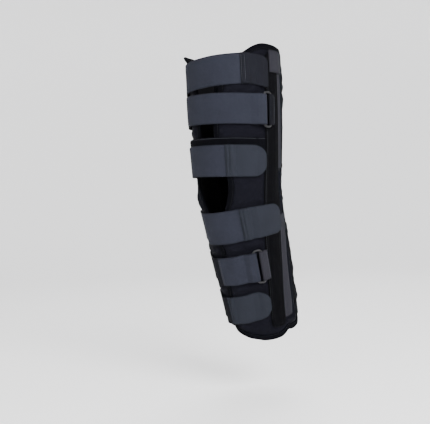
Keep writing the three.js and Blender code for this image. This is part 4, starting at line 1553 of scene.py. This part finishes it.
def backdrop():
    """A pale floor all round that curves up far off: flat, a quarter circle, then upright."""
    t = np.linspace(0, np.pi / 2, 20)
    curve = FLOOR_REACH - COVE_RADIUS * (1 - np.sin(t))
    reach = np.concatenate([[0.001, 1.0], curve, [FLOOR_REACH]])
    level = np.concatenate([[0, 0], COVE_RADIUS * (1 - np.cos(t)), [WALL_HEIGHT]]) + FLOOR_LEVEL
    reach, turn = grid(reach, np.linspace(0, 2 * np.pi, FLOOR_STATIONS))
    level = np.repeat(level[:, None], FLOOR_STATIONS, axis=1)
    points = np.stack([reach * np.cos(turn), reach * np.sin(turn), level], -1)
    uv = np.stack([reach, turn], -1).reshape(-1, 2)
    quads = grid_quads(*reach.shape)
    made = mesh_object("floor", points.reshape(-1, 3), quads, uv, np.ones(reach.size))
    material, nodes, shader = plain_material("Pale floor")
    white = (1, 1, 1, 1)
    nodes.fill(shader, Base_Color=(0.93, 0.93, 0.935, 1), Roughness=0.9)
    nodes.fill(shader, Emission_Color=white, Emission_Strength=0.26)
    made.data.materials.append(material)


def area_light(name, azimuth, elevation, distance, size, power):
    """A soft square light that looks at the knee from a direction round the object."""
    a, e = np.radians(azimuth), np.radians(elevation)
    back = Vector((np.sin(a) * np.cos(e), -np.cos(a) * np.cos(e), np.sin(e)))
    data = bpy.data.lights.new(name, "AREA")
    data.shape, data.size, data.energy = "SQUARE", size, power
    lamp = placed(name, data)
    lamp.location = back * distance
    lamp.rotation_mode = "QUATERNION"
    lamp.rotation_quaternion = (-back).to_track_quat("-Z", "Y")


def studio():
    area_light("Key light", VIEW_AZIMUTH + 28, 30, 2.3, 1.1, 84)
    area_light("Fill light", VIEW_AZIMUTH - 30, 14, 2.7, 1.4, 40)
    area_light("Back light", VIEW_AZIMUTH + 165, 62, 2.6, 1.4, 40)
    world = bpy.data.worlds.new("Studio")
    world.use_nodes = True
    sky = world.node_tree.nodes["Background"]
    sky.inputs["Color"].default_value = (1, 1, 1, 1)
    sky.inputs["Strength"].default_value = 0.7
    bpy.context.scene.world = world


def camera():
    """The photograph's camera: level, beside the knee, rolled a little, with the knee's middle
    where the photograph has it."""
    a, roll = np.radians(VIEW_AZIMUTH), np.radians(VIEW_ROLL)
    right, up = Vector((np.cos(a), np.sin(a), 0)), Vector((0, 0, 1))
    ahead = Vector((-np.sin(a), np.cos(a), 0))
    camera_right = right * np.cos(roll) - up * np.sin(roll)
    camera_up = right * np.sin(roll) + up * np.cos(roll)
    scale = CAMERA_DISTANCE / FOCAL_PIXELS
    shown_right = (KNEE_PIXEL[0] - PHOTO_WIDTH / 2) * scale
    shown_up = (PHOTO_HEIGHT / 2 - KNEE_PIXEL[1]) * scale
    place = -ahead * CAMERA_DISTANCE - camera_right * shown_right - camera_up * shown_up
    data = bpy.data.cameras.new("Camera")
    data.sensor_width = SENSOR * 1000
    data.lens = FOCAL_PIXELS / PHOTO_WIDTH * SENSOR * 1000
    made = placed("Camera", data)
    turn = Matrix((camera_right, camera_up, -ahead)).transposed()
    made.matrix_world = Matrix.Translation(place) @ turn.to_4x4()
    bpy.context.scene.camera = made


backdrop()
studio()
camera()
